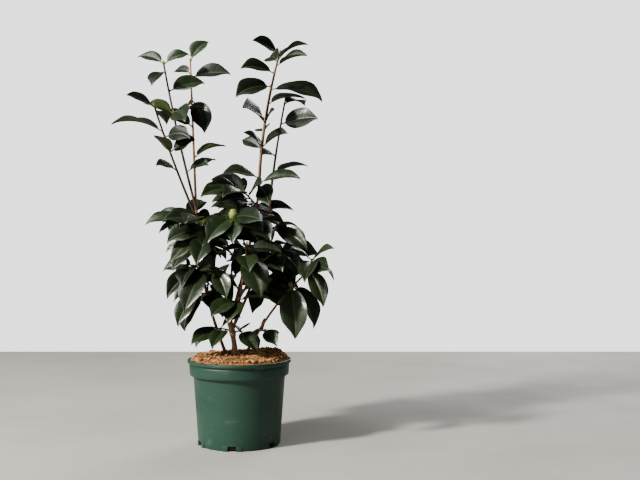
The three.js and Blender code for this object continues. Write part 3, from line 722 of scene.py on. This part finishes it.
def growTwig(name, branchReach, seed, more):
    if "twig" not in more:
        return
    draw = seededDraws(seed * 7)
    stem = masses[name]["stems"][0]
    share, reach, lift = (draw(*twigDraws[key]) for key in ("share", "reach", "lift"))
    twig = branchFrom(stem, share, more["twig"], lift, branchReach * reach, "twig")
    addTwig(masses[name], stem, twig, insideCrown)


def budAxes(way):
    side = unit(np.cross(way, (0.3, 0.5, 0.81)))
    return side, np.cross(side, way)


# A flower bud's solid: two poles, and between them four rings of seven points
def budShell(bud):
    side, up = budAxes(bud["way"])
    middles = []
    for ring in range(6):
        along = 1 - shape["budStretch"] * math.cos(math.pi * ring / 5)
        middles.append(bud["root"] + bud["way"] * bud["radius"] * along)
    points = [middles[0]]
    for ring in range(1, 5):
        for k in range(7):
            around = 2 * math.pi * k / 7
            level = side * math.cos(around) + up * math.sin(around)
            points.append(middles[ring] + level * bud["radius"] * math.sin(math.pi * ring / 5))
    points.append(middles[5])
    faces = ringFaces(1, 7, 3)
    for k in range(7):
        after = (k + 1) % 7
        faces += [(0, 1 + after, 1 + k), (29, 22 + k, 22 + after)]
    return shellOf(np.array(points), faces)


def growBuds(name, radii):
    mass = masses[name]
    for stem, radius in zip(mass["stems"], radii):
        way = unit(tangentOn(stem, np.array(1.0)) + (0, 0, 0.9))
        bud = {"root": pointOn(stem, 0.97), "way": way, "radius": radius}
        mass["buds"].append(bud)
        noteGrown(mass, bud, budShell(bud))


# The leaves of a shoot turn further to the light and are broader.
def growListedLeaves(name, seed, listed):
    draw = seededDraws(seed)
    mass = masses[name]
    for share, bearing, lift, length, *roll in listed:
        toLight = math.sin((bearing - shape["lightBearing"]) * degrees)
        further = shape["shootTurn"] * toLight * (name in shootPlan)
        leaf = leafFrom(draw, mass["stems"][0], share, bearing, lift, length, sum(roll) - further)
        if name in shootPlan:
            leaf["breadth"] *= shape["shootBroader"]
        growLeaf(mass, leaf)


def growSpiralLeaves(name, bearing, seed, count, more):
    make = spiralMake
    draw = seededDraws(seed * 13 + 5)
    mass = masses[name]
    windings = [(count, bearing, *make["onBranch"])]
    windings += [(make["twigLeaves"], more.get("twig"), *make["onTwig"])]
    number = 0
    for stem, (total, start, first, last) in zip(list(mass["stems"]), windings):
        for i in range(total):
            up = i / (total - 1)
            way = start + shape["spiral"] * i + draw(*make["turn"])
            lift = more.get("leafLift", make["leafLift"]) + make["rise"] * up + draw(*make["lift"])
            length = shape["leafLength"] * draw(*make["longer"])
            leaf = leafFrom(draw, stem, first + (last - first) * up, way, lift, length)
            if number not in more.get("fallen", ()):
                growLeaf(mass, leaf)
            number += 1


def growAsSolids():
    growLimbs()
    for name, (limb, share, head, bow, *_) in shootPlan.items():
        startMass(name, stemAlong(pointOn(limbs[limb], share), head, bow, *stemKinds["shoot"]))
    for name, (limb, share, bearing, lift, reach, *_) in massPlan.items():
        startMass(name, branchFrom(limbs[limb], share, bearing, lift, reach, "branch", 0.14))
    for name, (*_, reach, seed, count, more) in massPlan.items():
        growTwig(name, reach, seed, more)
    for name, plan in massPlan.items():
        growBuds(name, plan[-1].get("buds", ()))
    for name, (*_, seed, twigFinish, listed) in shootPlan.items():
        growListedLeaves(name, seed, listed)
    for name, (*_, seed, count, more) in massPlan.items():
        growListedLeaves(name, seed, more.get("leaves", ()))
    for name, (_, _, bearing, _, _, seed, count, more) in massPlan.items():
        growSpiralLeaves(name, bearing, seed, count, more)


def leafCount():
    return sum(len(mass["leaves"]) for mass in masses.values())


growAsSolids()
print("grown as the solids:", leafCount(), "leaves")


# Finer twigs and leaves, within the reach of each mass
fineTwigs = {
    "perBranch": 4, "firstTurn": 72,
    "rootShare": (0.3, 0.95), "turn": (-25, 25), "reach": (15, 30), "lift": (0, 45),
    "leaves": 3, "leafShare": (0.5, 0.995), "leafTurn": (-20, 20), "leafLift": (-40, 14),
    "leafLength": (46, 70),
    # how far in millimetres the finer growth may stray past the box of its mass
    "stray": 4,
}


def growFinerTwigs():
    for name, (_, _, branchBearing, _, _, seed, _, more) in massPlan.items():
        low, high = (np.array(corner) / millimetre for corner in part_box(name))

        def insideMass(points):
            within = (points > low - fineTwigs["stray"]) & (points < high + fineTwigs["stray"])
            return within.all() and insideCrown(points)

        draw = seededDraws(seed * 31 + 17)
        mass = masses[name]
        branch = mass["stems"][0]
        first, last = fineTwigs["leafShare"]
        for i in range(more.get("fine", fineTwigs["perBranch"])):
            drawn = (draw(*fineTwigs[key]) for key in ("rootShare", "turn", "reach", "lift"))
            share, turn, reach, lift = drawn
            bearing = branchBearing + fineTwigs["firstTurn"] + shape["spiral"] * i + turn
            twig = branchFrom(branch, share, bearing, lift, reach, "fineTwig")
            if not addTwig(mass, branch, twig, insideMass):
                continue
            for k in range(fineTwigs["leaves"]):
                share = first + (last - first) * k / (fineTwigs["leaves"] - 1)
                way = bearing + shape["spiral"] * (k + 1) + draw(*fineTwigs["leafTurn"])
                lift = draw(*fineTwigs["leafLift"])
                leaf = leafFrom(draw, twig, share, way, lift, draw(*fineTwigs["leafLength"]))
                growLeaf(mass, leaf, insideMass)


growFinerTwigs()
print("grown finer:", leafCount(), "leaves")

# Leaves: a folded, quilted blade with a toothed edge and a drawn-out tip. The places along a blade are
# shares of its length, and the places across it are shares of its half width.
leafMake = {
    "stalkRows": 4, "stalkHalf": 1.1, "bladeRows": 36, "bladeFrom": 0.07,
    "across": (0, 0.2, 0.42, 0.64, 0.83, 1),
    "ribHalf": 0.6, "ribWidest": 0.32, "ribSunk": 0.35, "ribUnder": 0.5, "ribWhereWider": 3,
    "toothDepth": 0.4, "toothFrom": (0.08, 0.16), "toothTo": (0.93, 1),
    "veins": 9, "veinDepth": 0.2, "veinSweep": 0.17, "waviness": 0.06, "waves": 9,
    "thickness": (0.85, 0.45),
    "tipNarrow": 0.52, "tipFrom": 0.62, "tipThin": 0.7, "tipCurl": 34, "curlFrom": 0.8,
    "shades": ("darkLeaf", "deepLeaf", "greenLeaf", "freshLeaf"),
    "finishes": ("leafBack", "leafRib", "leafStalk"),
    # how many of each shade among a hundred leaves. The crown leans to the lighter shades more than the
    # shoots do, as painted light on the lower crown.
    "crownMixPaintedLight": (33, 38, 25, 4), "shootMix": (38, 42, 16, 4),
}


def smooth(value, low, high):
    part = np.clip((value - low) / (high - low), 0, 1)
    return part * part * (3 - 2 * part)


# The line along the middle of a leaf, from the root of its stalk, and the share of the blade there
def leafMiddle(leaf):
    stalkRows, stalk = leafMake["stalkRows"], shape["petioleLength"]
    spread = np.linspace(0, 1, leafMake["bladeRows"])
    share = np.concatenate([np.zeros(stalkRows), spread])
    onStalk = np.linspace(0, 1, stalkRows, endpoint=False) * stalk
    along = np.concatenate([onStalk, stalk + spread * leaf["length"]])
    tip = np.clip((share - leafMake["curlFrom"]) / (1 - leafMake["curlFrom"]), 0, 1)
    curl = leafMake["tipCurl"] * tip**2
    between = (share[1:] + share[:-1]) / 2
    lift = leaf["lift"] - leaf["droop"] * between - (curl[1:] + curl[:-1]) / 2
    steps = heading(leaf["bearing"] + leaf["sweep"] * between, lift) * np.diff(along)[:, None]
    return share, leaf["root"] + np.concatenate([np.zeros((1, 3)), np.cumsum(steps, 0)])


# Each ring of points goes over the blade and back under it. Along the stalk it is round.
def addLeaf(stock, leaf, shade):
    share, middle = leafMiddle(leaf)
    side, top = leafAxes(leaf, share)
    stalkHalf = leafMake["stalkHalf"]
    width = bladeHalfWidth(np.clip(share, 0, 1)) * leaf["length"] * leaf["breadth"] / 2
    width = width * (1 - leafMake["tipNarrow"] * smooth(share, leafMake["tipFrom"], 1))
    width = np.maximum(width, stalkHalf * (1 - leafMake["tipThin"] * smooth(share, 0.5, 1)))
    rib = np.minimum(leafMake["ribWidest"], leafMake["ribHalf"] / width)[:, None]
    outward = rib + (1 - rib) * np.array(leafMake["across"])[None, :]
    v = np.concatenate([-outward[:, ::-1], outward], 1)
    size = np.abs(v)
    s = share[:, None]
    w = width[:, None]
    blade = smooth(s, 0, leafMake["bladeFrom"])
    tooth = np.where(np.arange(len(share)) % 2, 1, -0.4)[:, None] * leafMake["toothDepth"]
    tooth = tooth * (size > 0.99) * smooth(s, *leafMake["toothFrom"])
    tooth = tooth * (1 - smooth(s, *leafMake["toothTo"]))
    fold = leaf["fold"] * degrees
    rise = w * math.sin(fold) * (1.5 * size - 0.5 * size**3)
    vein = np.cos(2 * math.pi * leafMake["veins"] * (s - leafMake["veinSweep"] * size))
    rise = rise + leafMake["veinDepth"] * vein * np.sin(math.pi * size) * np.sin(math.pi * s)
    turn = leaf["bearing"] * 0.37 + np.sign(v) * 1.1
    rise = rise + leafMake["waviness"] * w * size**2 * np.sin(leafMake["waves"] * s + turn)
    ribbed = (size <= rib + 1e-9) * (w > leafMake["ribWhereWider"])
    rise = rise - leafMake["ribSunk"] * ribbed
    inner, edge = leafMake["thickness"]
    under = rise - (inner + (edge - inner) * size) - leafMake["ribUnder"] * ribbed
    bladeOut = v * w * math.cos(fold) + np.sign(v) * tooth
    around = v * math.pi / 2
    roundOut, roundUp = stalkHalf * np.sin(around), stalkHalf * np.cos(around)
    out = middle[:, None] + side[:, None] * (roundOut + (bladeOut - roundOut) * blade)[..., None]
    above = roundUp + (rise - roundUp) * blade
    below = -roundUp + (under + roundUp) * blade
    upper = out + top[:, None] * above[..., None]
    lower = out + top[:, None] * below[..., None]
    half = v.shape[1]
    back, ribFinish, stalkFinish = (len(leafMake["shades"]) + k for k in range(3))
    column = np.full(2 * half, shade)
    column[half:-1] = back
    column[[half // 2 - 1, half + half // 2 - 1]] = ribFinish
    finish = np.tile(column, (len(share) - 1, 1))
    finish[: leafMake["stalkRows"]] = stalkFinish
    addTube(stock, np.concatenate([upper, lower[:, ::-1]], 1), finish)


def makeLeaves():
    for name, mass in masses.items():
        stock = newStock()
        draw = seededDraws(len(name) * 97 + len(mass["leaves"]))
        # the crown's mix holds more light shades than the shoots', which paints light onto the lower
        # crown
        mix = np.cumsum(leafMake["shootMix" if name in shootPlan else "crownMixPaintedLight"])
        for leaf in mass["leaves"]:
            addLeaf(stock, leaf, int(np.searchsorted(mix, draw(0, 99.9))))
        names = leafMake["shades"] + leafMake["finishes"]
        makePiece(name.replace("_mass", "") + "_leaves", stock, names, (name,))


# Bark of the trunk, the boughs and the twigs
barkMake = {
    "trunkSides": 32, "limbSides": 22, "twigSides": 10, "limbStep": 1.5, "twigStep": 2.2,
    "tipShares": (0, 0.35, 0.62, 0.82, 0.94, 1),
    # size and depth of the ridges and lumps, across and along the limb
    "grain": 0.2, "grainSize": (1.3, 7.5), "lumps": 0.3, "lumpSize": (6, 14),
    # leaf scars: distance, height, reach along, turn from one to the next, and the groove above each
    "scarEvery": 23, "scarHeight": 0.5, "scarReach": 1.7, "scarTurn": 2.51,
    "grooveDepth": 0.18, "grooveAway": 2.6, "grooveReach": 0.9,
    # swellings: where a branch leaves, at a branch's own root, and the flutes at a stem's foot
    "limbCollar": 0.9, "branchCollar": 0.5, "collarReach": 4.5, "rootSwell": 0.3, "rootReach": 3,
    "flutes": ((0.32, 3, 0.8), (0.2, 5, 0)), "fluteReach": 6,
    # how much thicker than the solids' stems the bark makes a shoot and a twig
    "shootBark": 0.75, "twigBark": 0.25,
    "trunkFinish": "trunkBark", "limbFinish": "redBark", "twigFinish": "greenTwig",
}


# A bump along a stem, at an offset and with a reach in millimetres
def bumpAt(away, reach):
    return np.exp(-((away / reach) ** 2))[:, None]


def barkRings(stem, sides, step, scars, collars, coarse):
    make = barkMake
    length = chordOf(stem) * 1.02
    shares = np.linspace(0, 1, max(5, int(length / step)))
    tipShare = 1 - min(0.3, stem["tip"] * 0.9 / length)
    tipShares = tipShare + (1 - tipShare) * np.array(make["tipShares"])
    shares = np.unique(np.concatenate([shares[shares < tipShare], tipShares]))
    turn = np.arange(sides) / sides * 2 * math.pi
    swell = np.zeros((len(shares), sides))
    radius = stem["root"] + (stem["tip"] - stem["root"]) * shares
    for k, scar in enumerate(scars):
        away = (shares - scar) * length
        facing = (0.5 + 0.5 * np.cos(turn - make["scarTurn"] * k)) ** 2
        swell += make["scarHeight"] * coarse * bumpAt(away, make["scarReach"]) * (0.3 + 0.7 * facing)
        swell -= make["grooveDepth"] * coarse * bumpAt(away - make["grooveAway"], make["grooveReach"])
    for collar, height in collars:
        swell += height * bumpAt((shares - collar) * length, make["collarReach"])
    if stem["flatFoot"]:
        fading = np.exp(-shares * length / make["fluteReach"])[:, None]
        for depth, count, ahead in make["flutes"]:
            swell += fading * depth * stem["flare"] * np.cos(count * turn + ahead)
    else:
        fading = np.exp(-shares * length / make["rootReach"])[:, None]
        swell += make["rootSwell"] * stem["root"] * fading
    points = stemRings(stem, shares, sides)
    for i, j in np.ndindex(swell.shape):
        x, y, z = points[i, j]
        ridge, lump = (
            noise.noise(Vector((x / across, y / across, z / along)))
            for across, along in (make["grainSize"], make["lumpSize"])
        )
        swell[i, j] += coarse * (make["grain"] * ridge + make["lumps"] * lump)
    ending = np.clip((shares - tipShare) / (1 - tipShare), 0, 1)
    squeeze = np.sqrt(np.maximum(0.02, 1 - ending**2))[:, None]
    swell = (radius[:, None] + swell) * squeeze - radius[:, None]
    return stemRings(stem, shares, sides, swell)


def makeLimbs():
    feet = [foot for foot, *_ in limbPlan.values()]
    for name, stem in limbs.items():
        length = chordOf(stem)
        scars = np.arange(14, length - 6, barkMake["scarEvery"]) / length
        collars = [(share, barkMake["limbCollar"]) for limb, share in feet if limb == name]
        for limb, share, *_ in (*massPlan.values(), *shootPlan.values()):
            if limb == name:
                collars.append((share, barkMake["branchCollar"]))
        kind = "trunk" if name == "trunk" else "limb"
        sides, finish = barkMake[kind + "Sides"], barkMake[kind + "Finish"]
        stock = newStock()
        addTube(stock, barkRings(stem, sides, barkMake["limbStep"], scars, collars, stem["root"] / 4))
        makePiece(name + "_bark", stock, (finish,), (name,))


def makeTwigs():
    for name, mass in masses.items():
        stock = newStock()
        bark = barkMake["shootBark" if name in shootPlan else "twigBark"]
        for stem in mass["stems"]:
            roots = [leaf["root"] for leaf in mass["leaves"] if leaf["stem"] is stem]
            shares = np.linspace(0, 1, 200)
            line = pointOn(stem, shares)
            scars = [shares[np.argmin(np.linalg.norm(line - root, axis=1))] for root in roots]
            barked = {**stem, "root": stem["root"] + bark, "tip": stem["tip"] + bark}
            rings = barkRings(barked, barkMake["twigSides"], barkMake["twigStep"], scars, (), 0.45)
            addTube(stock, rings)
        finish = shootPlan[name][5] if name in shootPlan else barkMake["twigFinish"]
        makePiece(name.replace("_mass", "") + "_twigs", stock, (finish,), (name,))


# Flower buds with overlapping scales, and leaf buds in the leaf axils and at the ends of twigs
budMake = {
    "paleMasses": ("red_top_mass", "centre_front_mass", "back_top_mass"),
    "core": 16, "pointed": 0.24, "scales": 10, "scaleHalfTurn": 74, "scaleTurn": 137.5,
    "scaleReach": (0.40, 0.96), "scaleRoot": 0.06, "rows": 9, "across": 9,
    # the gap and thickness are those of a bud with a radius of 8
    "scaleGap": 0.2, "scaleThickness": 0.3,
    # radius and length of leaf buds, and how far one in an axil stands out, and leans from its stem
    "axilBud": (1.1, 4.6), "endBud": (1.7, 10.5), "axilOut": 1.2, "axilLift": 20, "axilLean": 0.55,
    "endSides": 8, "endShare": 0.985, "clearOfFlower": 6,
    "endProfile": ((0, 0.45), (0.12, 0.8), (0.3, 1), (0.5, 0.93), (0.7, 0.66), (0.88, 0.32), (1, 0.04)),
}


def budPoint(bud, axes, polar, turn, lift):
    side, up = axes
    point = 1 - budMake["pointed"] * (polar / math.pi) ** 3
    across = bud["radius"] * np.sin(polar) * point + lift * np.sin(polar) ** 0.5
    level = side * np.cos(turn)[..., None] + up * np.sin(turn)[..., None]
    height = bud["radius"] - (shape["budStretch"] * bud["radius"] + lift) * np.cos(polar)
    return bud["root"] + bud["way"] * height[..., None] + level * across[..., None]


def addFlowerBud(stock, bud, finish):
    axes = budAxes(bud["way"])
    count = budMake["core"]
    polar = np.linspace(0.02, math.pi - 0.02, count)[:, None]
    turn = np.arange(count)[None, :] / count * 2 * math.pi
    addTube(stock, budPoint(bud, axes, polar + 0 * turn, turn + 0 * polar, 0 * polar * turn), finish)
    scales = budMake["scales"]
    least, most = budMake["scaleReach"]
    root = budMake["scaleRoot"] * math.pi
    t = np.linspace(0, 1, budMake["rows"])[:, None]
    v = np.linspace(-1, 1, budMake["across"])[None, :]
    gap, thickness = (budMake[key] * bud["radius"] / 8 for key in ("scaleGap", "scaleThickness"))
    for k in range(scales):
        reach = (least + (most - least) * k / (scales - 1)) * math.pi
        half = budMake["scaleHalfTurn"] * degrees * np.sqrt(np.maximum(0.012, 1 - t**3))
        half = half * (1 - 0.25 * k / scales)
        polar = root + t * (reach - root) - 0.12 * v**2 * t
        turn = budMake["scaleTurn"] * degrees * k + v * half
        lift = gap * (0.4 + scales - k) + gap * 2.2 * t**3 + 0 * v
        front = budPoint(bud, axes, polar, turn, lift)
        rear = budPoint(bud, axes, polar, turn, lift - thickness * (1.25 - v**2))
        addTube(stock, np.concatenate([front, rear[:, ::-1]], 1), finish)


def addLeafBud(stock, root, way, radius, length):
    side, up = budAxes(way)
    turn = np.arange(budMake["endSides"]) / budMake["endSides"] * 2 * math.pi
    level = side * np.cos(turn)[:, None] + up * np.sin(turn)[:, None]
    profile = budMake["endProfile"]
    rings = [root + way * length * share + level * radius * size for share, size in profile]
    addTube(stock, np.array(rings))


def makeBuds():
    flowers = newStock()
    leafBuds = newStock()
    for name, mass in masses.items():
        for bud in mass["buds"]:
            addFlowerBud(flowers, bud, 0 if name in budMake["paleMasses"] else 1)
        for leaf in mass["leaves"]:
            out = heading(leaf["bearing"], budMake["axilLift"])
            way = unit(out * budMake["axilLean"] + tangentOn(leaf["stem"], np.array(0.5)))
            addLeafBud(leafBuds, leaf["root"] + out * budMake["axilOut"], way, *budMake["axilBud"])
        flowering = [bud["root"] for bud in mass["buds"]]
        for stem in mass["stems"]:
            end = pointOn(stem, budMake["endShare"])
            if all(np.linalg.norm(end - root) > budMake["clearOfFlower"] for root in flowering):
                addLeafBud(leafBuds, end, tangentOn(stem, np.array(1.0)), *budMake["endBud"])
    makePiece("flower_buds", flowers, ("budScale", "budScaleDark"))
    makePiece("leaf_buds", leafBuds, ("leafBudScale",))


# Root ball and bark topping
soilMake = {
    # radius and height, from the bottom of the root ball up its side
    "profile": (
        (40, 2.4), (73, 2.4), (76.5, 50), (80, 95), (82.5, 129), (88.6, 129.2), (90, 146), (90, 151),
    ),
    "around": 120, "rings": 44, "ringRadii": (90, 0.6),
    # heights of the mound, where it begins to fall, and where and how far its rim drops
    "edge": 158, "crownHeight": 159.6, "domeFrom": 44, "rim": (82, 91), "rimDrop": 3.6,
    "lumps": 2.2, "lumpSizes": (13, 5), "smallLumps": 0.6,
    # place, height and reach of a heap at one side
    "heap": (58, 44, 7.5, 38),
    "diceSeed": 7, "chips": 2900, "chipSize": (1.6, 5.4), "chipsWithin": 90.2,
    # the least of a chip's breadth, thickness, corners and lift, and how much more a draw can give
    "chipBreadth": (0.45, 0.4), "chipThickness": (0.28, 0.3),
    "chipCorners": (0.72, 0.5), "chipLift": (0.1, 0.35),
    # how much a chip lies flat instead of tumbling
    "chipFlat": ((1, 1, 0.75), (0.6, 0.6, 2.2)),
    "fibres": 520, "fibreLength": (7, 20), "fibresFrom": 82, "fibresWithin": 90,
    "fibreRadii": (0.32, 0.2), "fibreFoot": 1.2, "fibreEnd": (0.8, 3), "fibreBow": (2.2, 1.5, 2.5),
    "chipFinishes": ("orangeChip", "tanChip", "brownChip"), "chipMix": (40, 38, 22),
    # how far the mix of finishes drifts from place to place, and over what distance
    "mixDrift": 55, "driftSize": 26,
}


def ringOf(around, radius, height):
    turn = np.arange(around) / around * 2 * math.pi
    return np.stack([np.cos(turn) * radius, np.sin(turn) * radius, np.full(around, height)], -1)


def moundHeight(x, y):
    away = math.hypot(x, y)
    edge, rise = soilMake["edge"], soilMake["crownHeight"] - soilMake["edge"]
    rimFrom, rimTo = soilMake["rim"]
    dome = edge + rise * float(1 - smooth(away, soilMake["domeFrom"], rimTo))
    large, small = soilMake["lumpSizes"]
    lump = noise.noise(Vector((x / large, y / large, 3)))
    lump += soilMake["smallLumps"] * noise.noise(Vector((x / small, y / small, 9)))
    heapX, heapY, height, reach = soilMake["heap"]
    heap = height * math.exp(-((x - heapX) ** 2 + (y - heapY) ** 2) / reach**2)
    drop = soilMake["rimDrop"] * float(smooth(away, rimFrom, rimTo))
    return dome + heap + soilMake["lumps"] * lump - drop


def makeRootBall():
    around = soilMake["around"]
    rings = [ringOf(around, radius, height) for radius, height in soilMake["profile"]]
    for radius in np.linspace(*soilMake["ringRadii"], soilMake["rings"]):
        ring = ringOf(around, radius, 0.0)
        ring[:, 2] = [moundHeight(x, y) for x, y, _ in ring]
        rings.append(ring)
    stock = newStock()
    # The side and foot of the root ball take the near-black finish: dark roots, and painted shade in
    # the gap under the lip.
    finish = np.zeros((len(rings) - 1, around), int)
    finish[: len(soilMake["profile"])] = 1
    addTube(stock, np.array(rings), finish)
    makePiece("root_ball", stock, ("soilFinish", "darkRootsAndPaintedShade"), ("soil",))


# Twelve points and twenty faces, which each chip bends and flattens
def roundedStone():
    golden = (1 + 5**0.5) / 2
    points = [(0, a, b * golden) for a in (-1, 1) for b in (-1, 1)]
    points = np.array(points + [(b, c, a) for a, b, c in points] + [(c, a, b) for a, b, c in points])
    points = unit(points)
    faces = []
    for i, j, k in combinations(range(12), 3):
        trio = points[[i, j, k]]
        if max(np.linalg.norm(trio - np.roll(trio, 1, 0), axis=1)) < 1.1:
            outward = np.dot(np.cross(trio[1] - trio[0], trio[2] - trio[0]), trio[0]) > 0
            faces.append((i, j, k) if outward else (i, k, j))
    return points, np.array(faces)


def makeChips(dice):
    points, faces = roundedStone()
    stock = newStock()
    small, large = soilMake["chipSize"]
    mix = np.cumsum(soilMake["chipMix"])

    def upFrom(key, count=None):
        least, more = soilMake[key]
        return least + more * dice.random(count)

    for _ in range(soilMake["chips"]):
        size = small + (large - small) * dice.random() ** 2.2
        away = (soilMake["chipsWithin"] - size) * math.sqrt(dice.random())
        turn = dice.random() * 2 * math.pi
        x, y = away * math.cos(turn), away * math.sin(turn)
        scale = size * np.array((1, upFrom("chipBreadth"), upFrom("chipThickness")))
        body = points * scale * upFrom("chipCorners", (12, 1))
        spread, flat = soilMake["chipFlat"]
        tumble = np.linalg.qr(dice.normal(size=(3, 3)) * spread + np.eye(3) * flat)[0]
        if np.linalg.det(tumble) < 0:
            tumble[:, 0] *= -1
        lift = moundHeight(x, y) + size * upFrom("chipLift")
        start = addPoints(stock, body @ tumble.T + (x, y, lift))
        drift = noise.noise(Vector((x / soilMake["driftSize"], y / soilMake["driftSize"], 5)))
        pick = dice.random() * 99.9 + soilMake["mixDrift"] * drift
        addFaces(stock, "corners", faces + start, int(np.searchsorted(mix, min(max(pick, 0), 99.9))))
    makePiece("bark_chips", stock, soilMake["chipFinishes"], sharp=28)


def makeFibres(dice):
    stock = newStock()
    shortest, longest = soilMake["fibreLength"]
    endLeast, endMore = soilMake["fibreEnd"]
    sideBow, bowLeast, bowMore = soilMake["fibreBow"]
    for _ in range(soilMake["fibres"]):
        away = soilMake["fibresFrom"] * math.sqrt(dice.random())
        turn, bearing = dice.random(2) * 360
        length = shortest + (longest - shortest) * dice.random()
        x, y = away * math.cos(turn), away * math.sin(turn)
        reach = heading(bearing, 8 * dice.random() - 4) * min(length, soilMake["fibresWithin"] - away)
        start = np.array((x, y, moundHeight(x, y) + soilMake["fibreFoot"]))
        end = start + reach
        end[2] = moundHeight(end[0], end[1]) + endLeast + endMore * dice.random()
        bow = (*(dice.normal(size=2) * sideBow), bowLeast + bowMore * dice.random())
        fibre = stemAlong(start, end, bow, *soilMake["fibreRadii"])
        addTube(stock, stemRings(fibre, np.linspace(0, 1, 7), 4), int(dice.integers(0, 3)))
    makePiece("bark_fibres", stock, soilMake["chipFinishes"])


# Pot
potMake = {
    "around": 180,
    # radius and height, up the outside and then down the inside
    "outer": (
        (40, 0), (72.6, 0), (73.9, 0.3), (74.8, 1.1), (75.1, 2.4), (75.66, 9.8), (75.72, 10.6),
        (75.83, 12), (77.2, 30), (79.2, 58), (81.6, 92), (83.9, 122), (84.35, 125.4), (84.6, 126.4),
        (85.3, 126.9),
        (89.4, 126.9), (90.3, 127.2), (90.65, 128), (91.0, 133), (91.5, 140), (91.75, 144.2),
        (91.5, 144.9), (91.2, 145.4), (91.2, 147.2), (91.7, 148.2), (93.6, 148.8), (94.4, 149.1),
        (94.85, 149.8), (95, 150.8), (95, 153.4), (94.7, 154.4), (93.9, 154.95), (92.6, 155),
        (91.4, 154.95), (90.8, 154.6), (90.6, 154),
    ),
    "inner": (
        (89.0, 129.6), (88.4, 128.7), (83.4, 128.6), (82.8, 128), (73.9, 6), (72.6, 2.6), (40, 2),
    ),
    "footRadius": 75.1,
    # slots and pads around the foot. Reach is from inside the foot's radius to outside it.
    "slots": 6, "firstSlot": 265, "slotWidth": 15, "slotReach": (-14, 14), "slotHeights": (-1, 8.8),
    "padWidth": 10, "padReach": (-0.8, 1.25), "padHeights": (0.02, 9),
    "edgeRound": 0.4, "roundedAngle": 50, "sharpAngle": 35,
}


# A block for a pad or a slot, at a bearing around the foot
def footBlock(name, bearing):
    reach = [potMake["footRadius"] + x for x in potMake[name + "Reach"]]
    half = potMake[name + "Width"] / 2
    corners = [(x, y, z) for x in reach for y in (-half, half) for z in potMake[name + "Heights"]]
    cosine, sine = math.cos(bearing * degrees), math.sin(bearing * degrees)
    points = [(x * cosine - y * sine, x * sine + y * cosine, z) for x, y, z in corners]
    faces = [(0, 1, 3, 2), (4, 6, 7, 5), (0, 4, 5, 1), (2, 3, 7, 6), (0, 2, 6, 4), (1, 5, 7, 3)]
    mesh = bpy.data.meshes.new(name)
    mesh.from_pydata([Vector(point) * millimetre for point in points], [], faces)
    return addObject(name, mesh)


def applied(piece):
    view = bpy.context.evaluated_depsgraph_get()
    mesh = bpy.data.meshes.new_from_object(piece.evaluated_get(view))
    piece.modifiers.clear()
    piece.data = mesh


def combine(piece, operation, blocks):
    group = bpy.data.collections.new(operation.lower())
    for block in blocks:
        group.objects.link(block)
    boolean = piece.modifiers.new(operation.lower(), "BOOLEAN")
    boolean.operation = operation
    boolean.operand_type = "COLLECTION"
    boolean.collection = group
    boolean.solver = "EXACT"
    applied(piece)
    for block in blocks:
        bpy.data.objects.remove(block)
    bpy.data.collections.remove(group)


def makePot():
    stock = newStock()
    profile = (*potMake["outer"], *potMake["inner"])
    addTube(stock, np.array([ringOf(potMake["around"], radius, height) for radius, height in profile]))
    pot = makePiece("pot_shell", stock, ("potPlastic",), ("pot",), sharp=potMake["sharpAngle"])
    foot = potMake["footRadius"]
    padTurn = math.asin((potMake["slotWidth"] + potMake["padWidth"]) / 2 / foot) / degrees
    pads, cuts = [], []
    for i in range(potMake["slots"]):
        bearing = potMake["firstSlot"] + 360 / potMake["slots"] * i
        for way in (bearing - padTurn, bearing + padTurn):
            pads.append(footBlock("pad", way))
        cuts.append(footBlock("slot", bearing))
    combine(pot, "UNION", pads)
    combine(pot, "DIFFERENCE", cuts)
    bevel = pot.modifiers.new("rounding", "BEVEL")
    bevel.width = potMake["edgeRound"] * millimetre
    bevel.segments = 2
    bevel.limit_method = "ANGLE"
    bevel.angle_limit = potMake["roundedAngle"] * degrees
    applied(pot)
    pot.data.shade_smooth()
    pot.data.set_sharp_from_angle(angle=potMake["sharpAngle"] * degrees)


def makeFloor():
    half, back = floorSetup["width"] / 2, floorSetup["back"]
    corners = [(-half, -half, 0), (half, -half, 0), (half, back, 0), (-half, back, 0)]
    mesh = bpy.data.meshes.new("floor")
    mesh.from_pydata(corners, [], [(0, 1, 2, 3)])
    mesh.materials.append(finishes["floorFinish"])
    floor = addObject("floor", mesh)


for finishName, look in finishLooks.items():
    makeFinish(finishName, *look)
makeCamera()
makeLights()
makeFloor()
print("camera, floor and light made")
makePot()
print("pot made")
makeRootBall()
soilDice = np.random.default_rng(soilMake["diceSeed"])
makeChips(soilDice)
makeFibres(soilDice)
print("root ball and bark topping made")
makeLimbs()
makeTwigs()
print("trunk, boughs and twigs made")
makeLeaves()
makeBuds()
print("leaves and buds made")

bpy.context.view_layer.update()
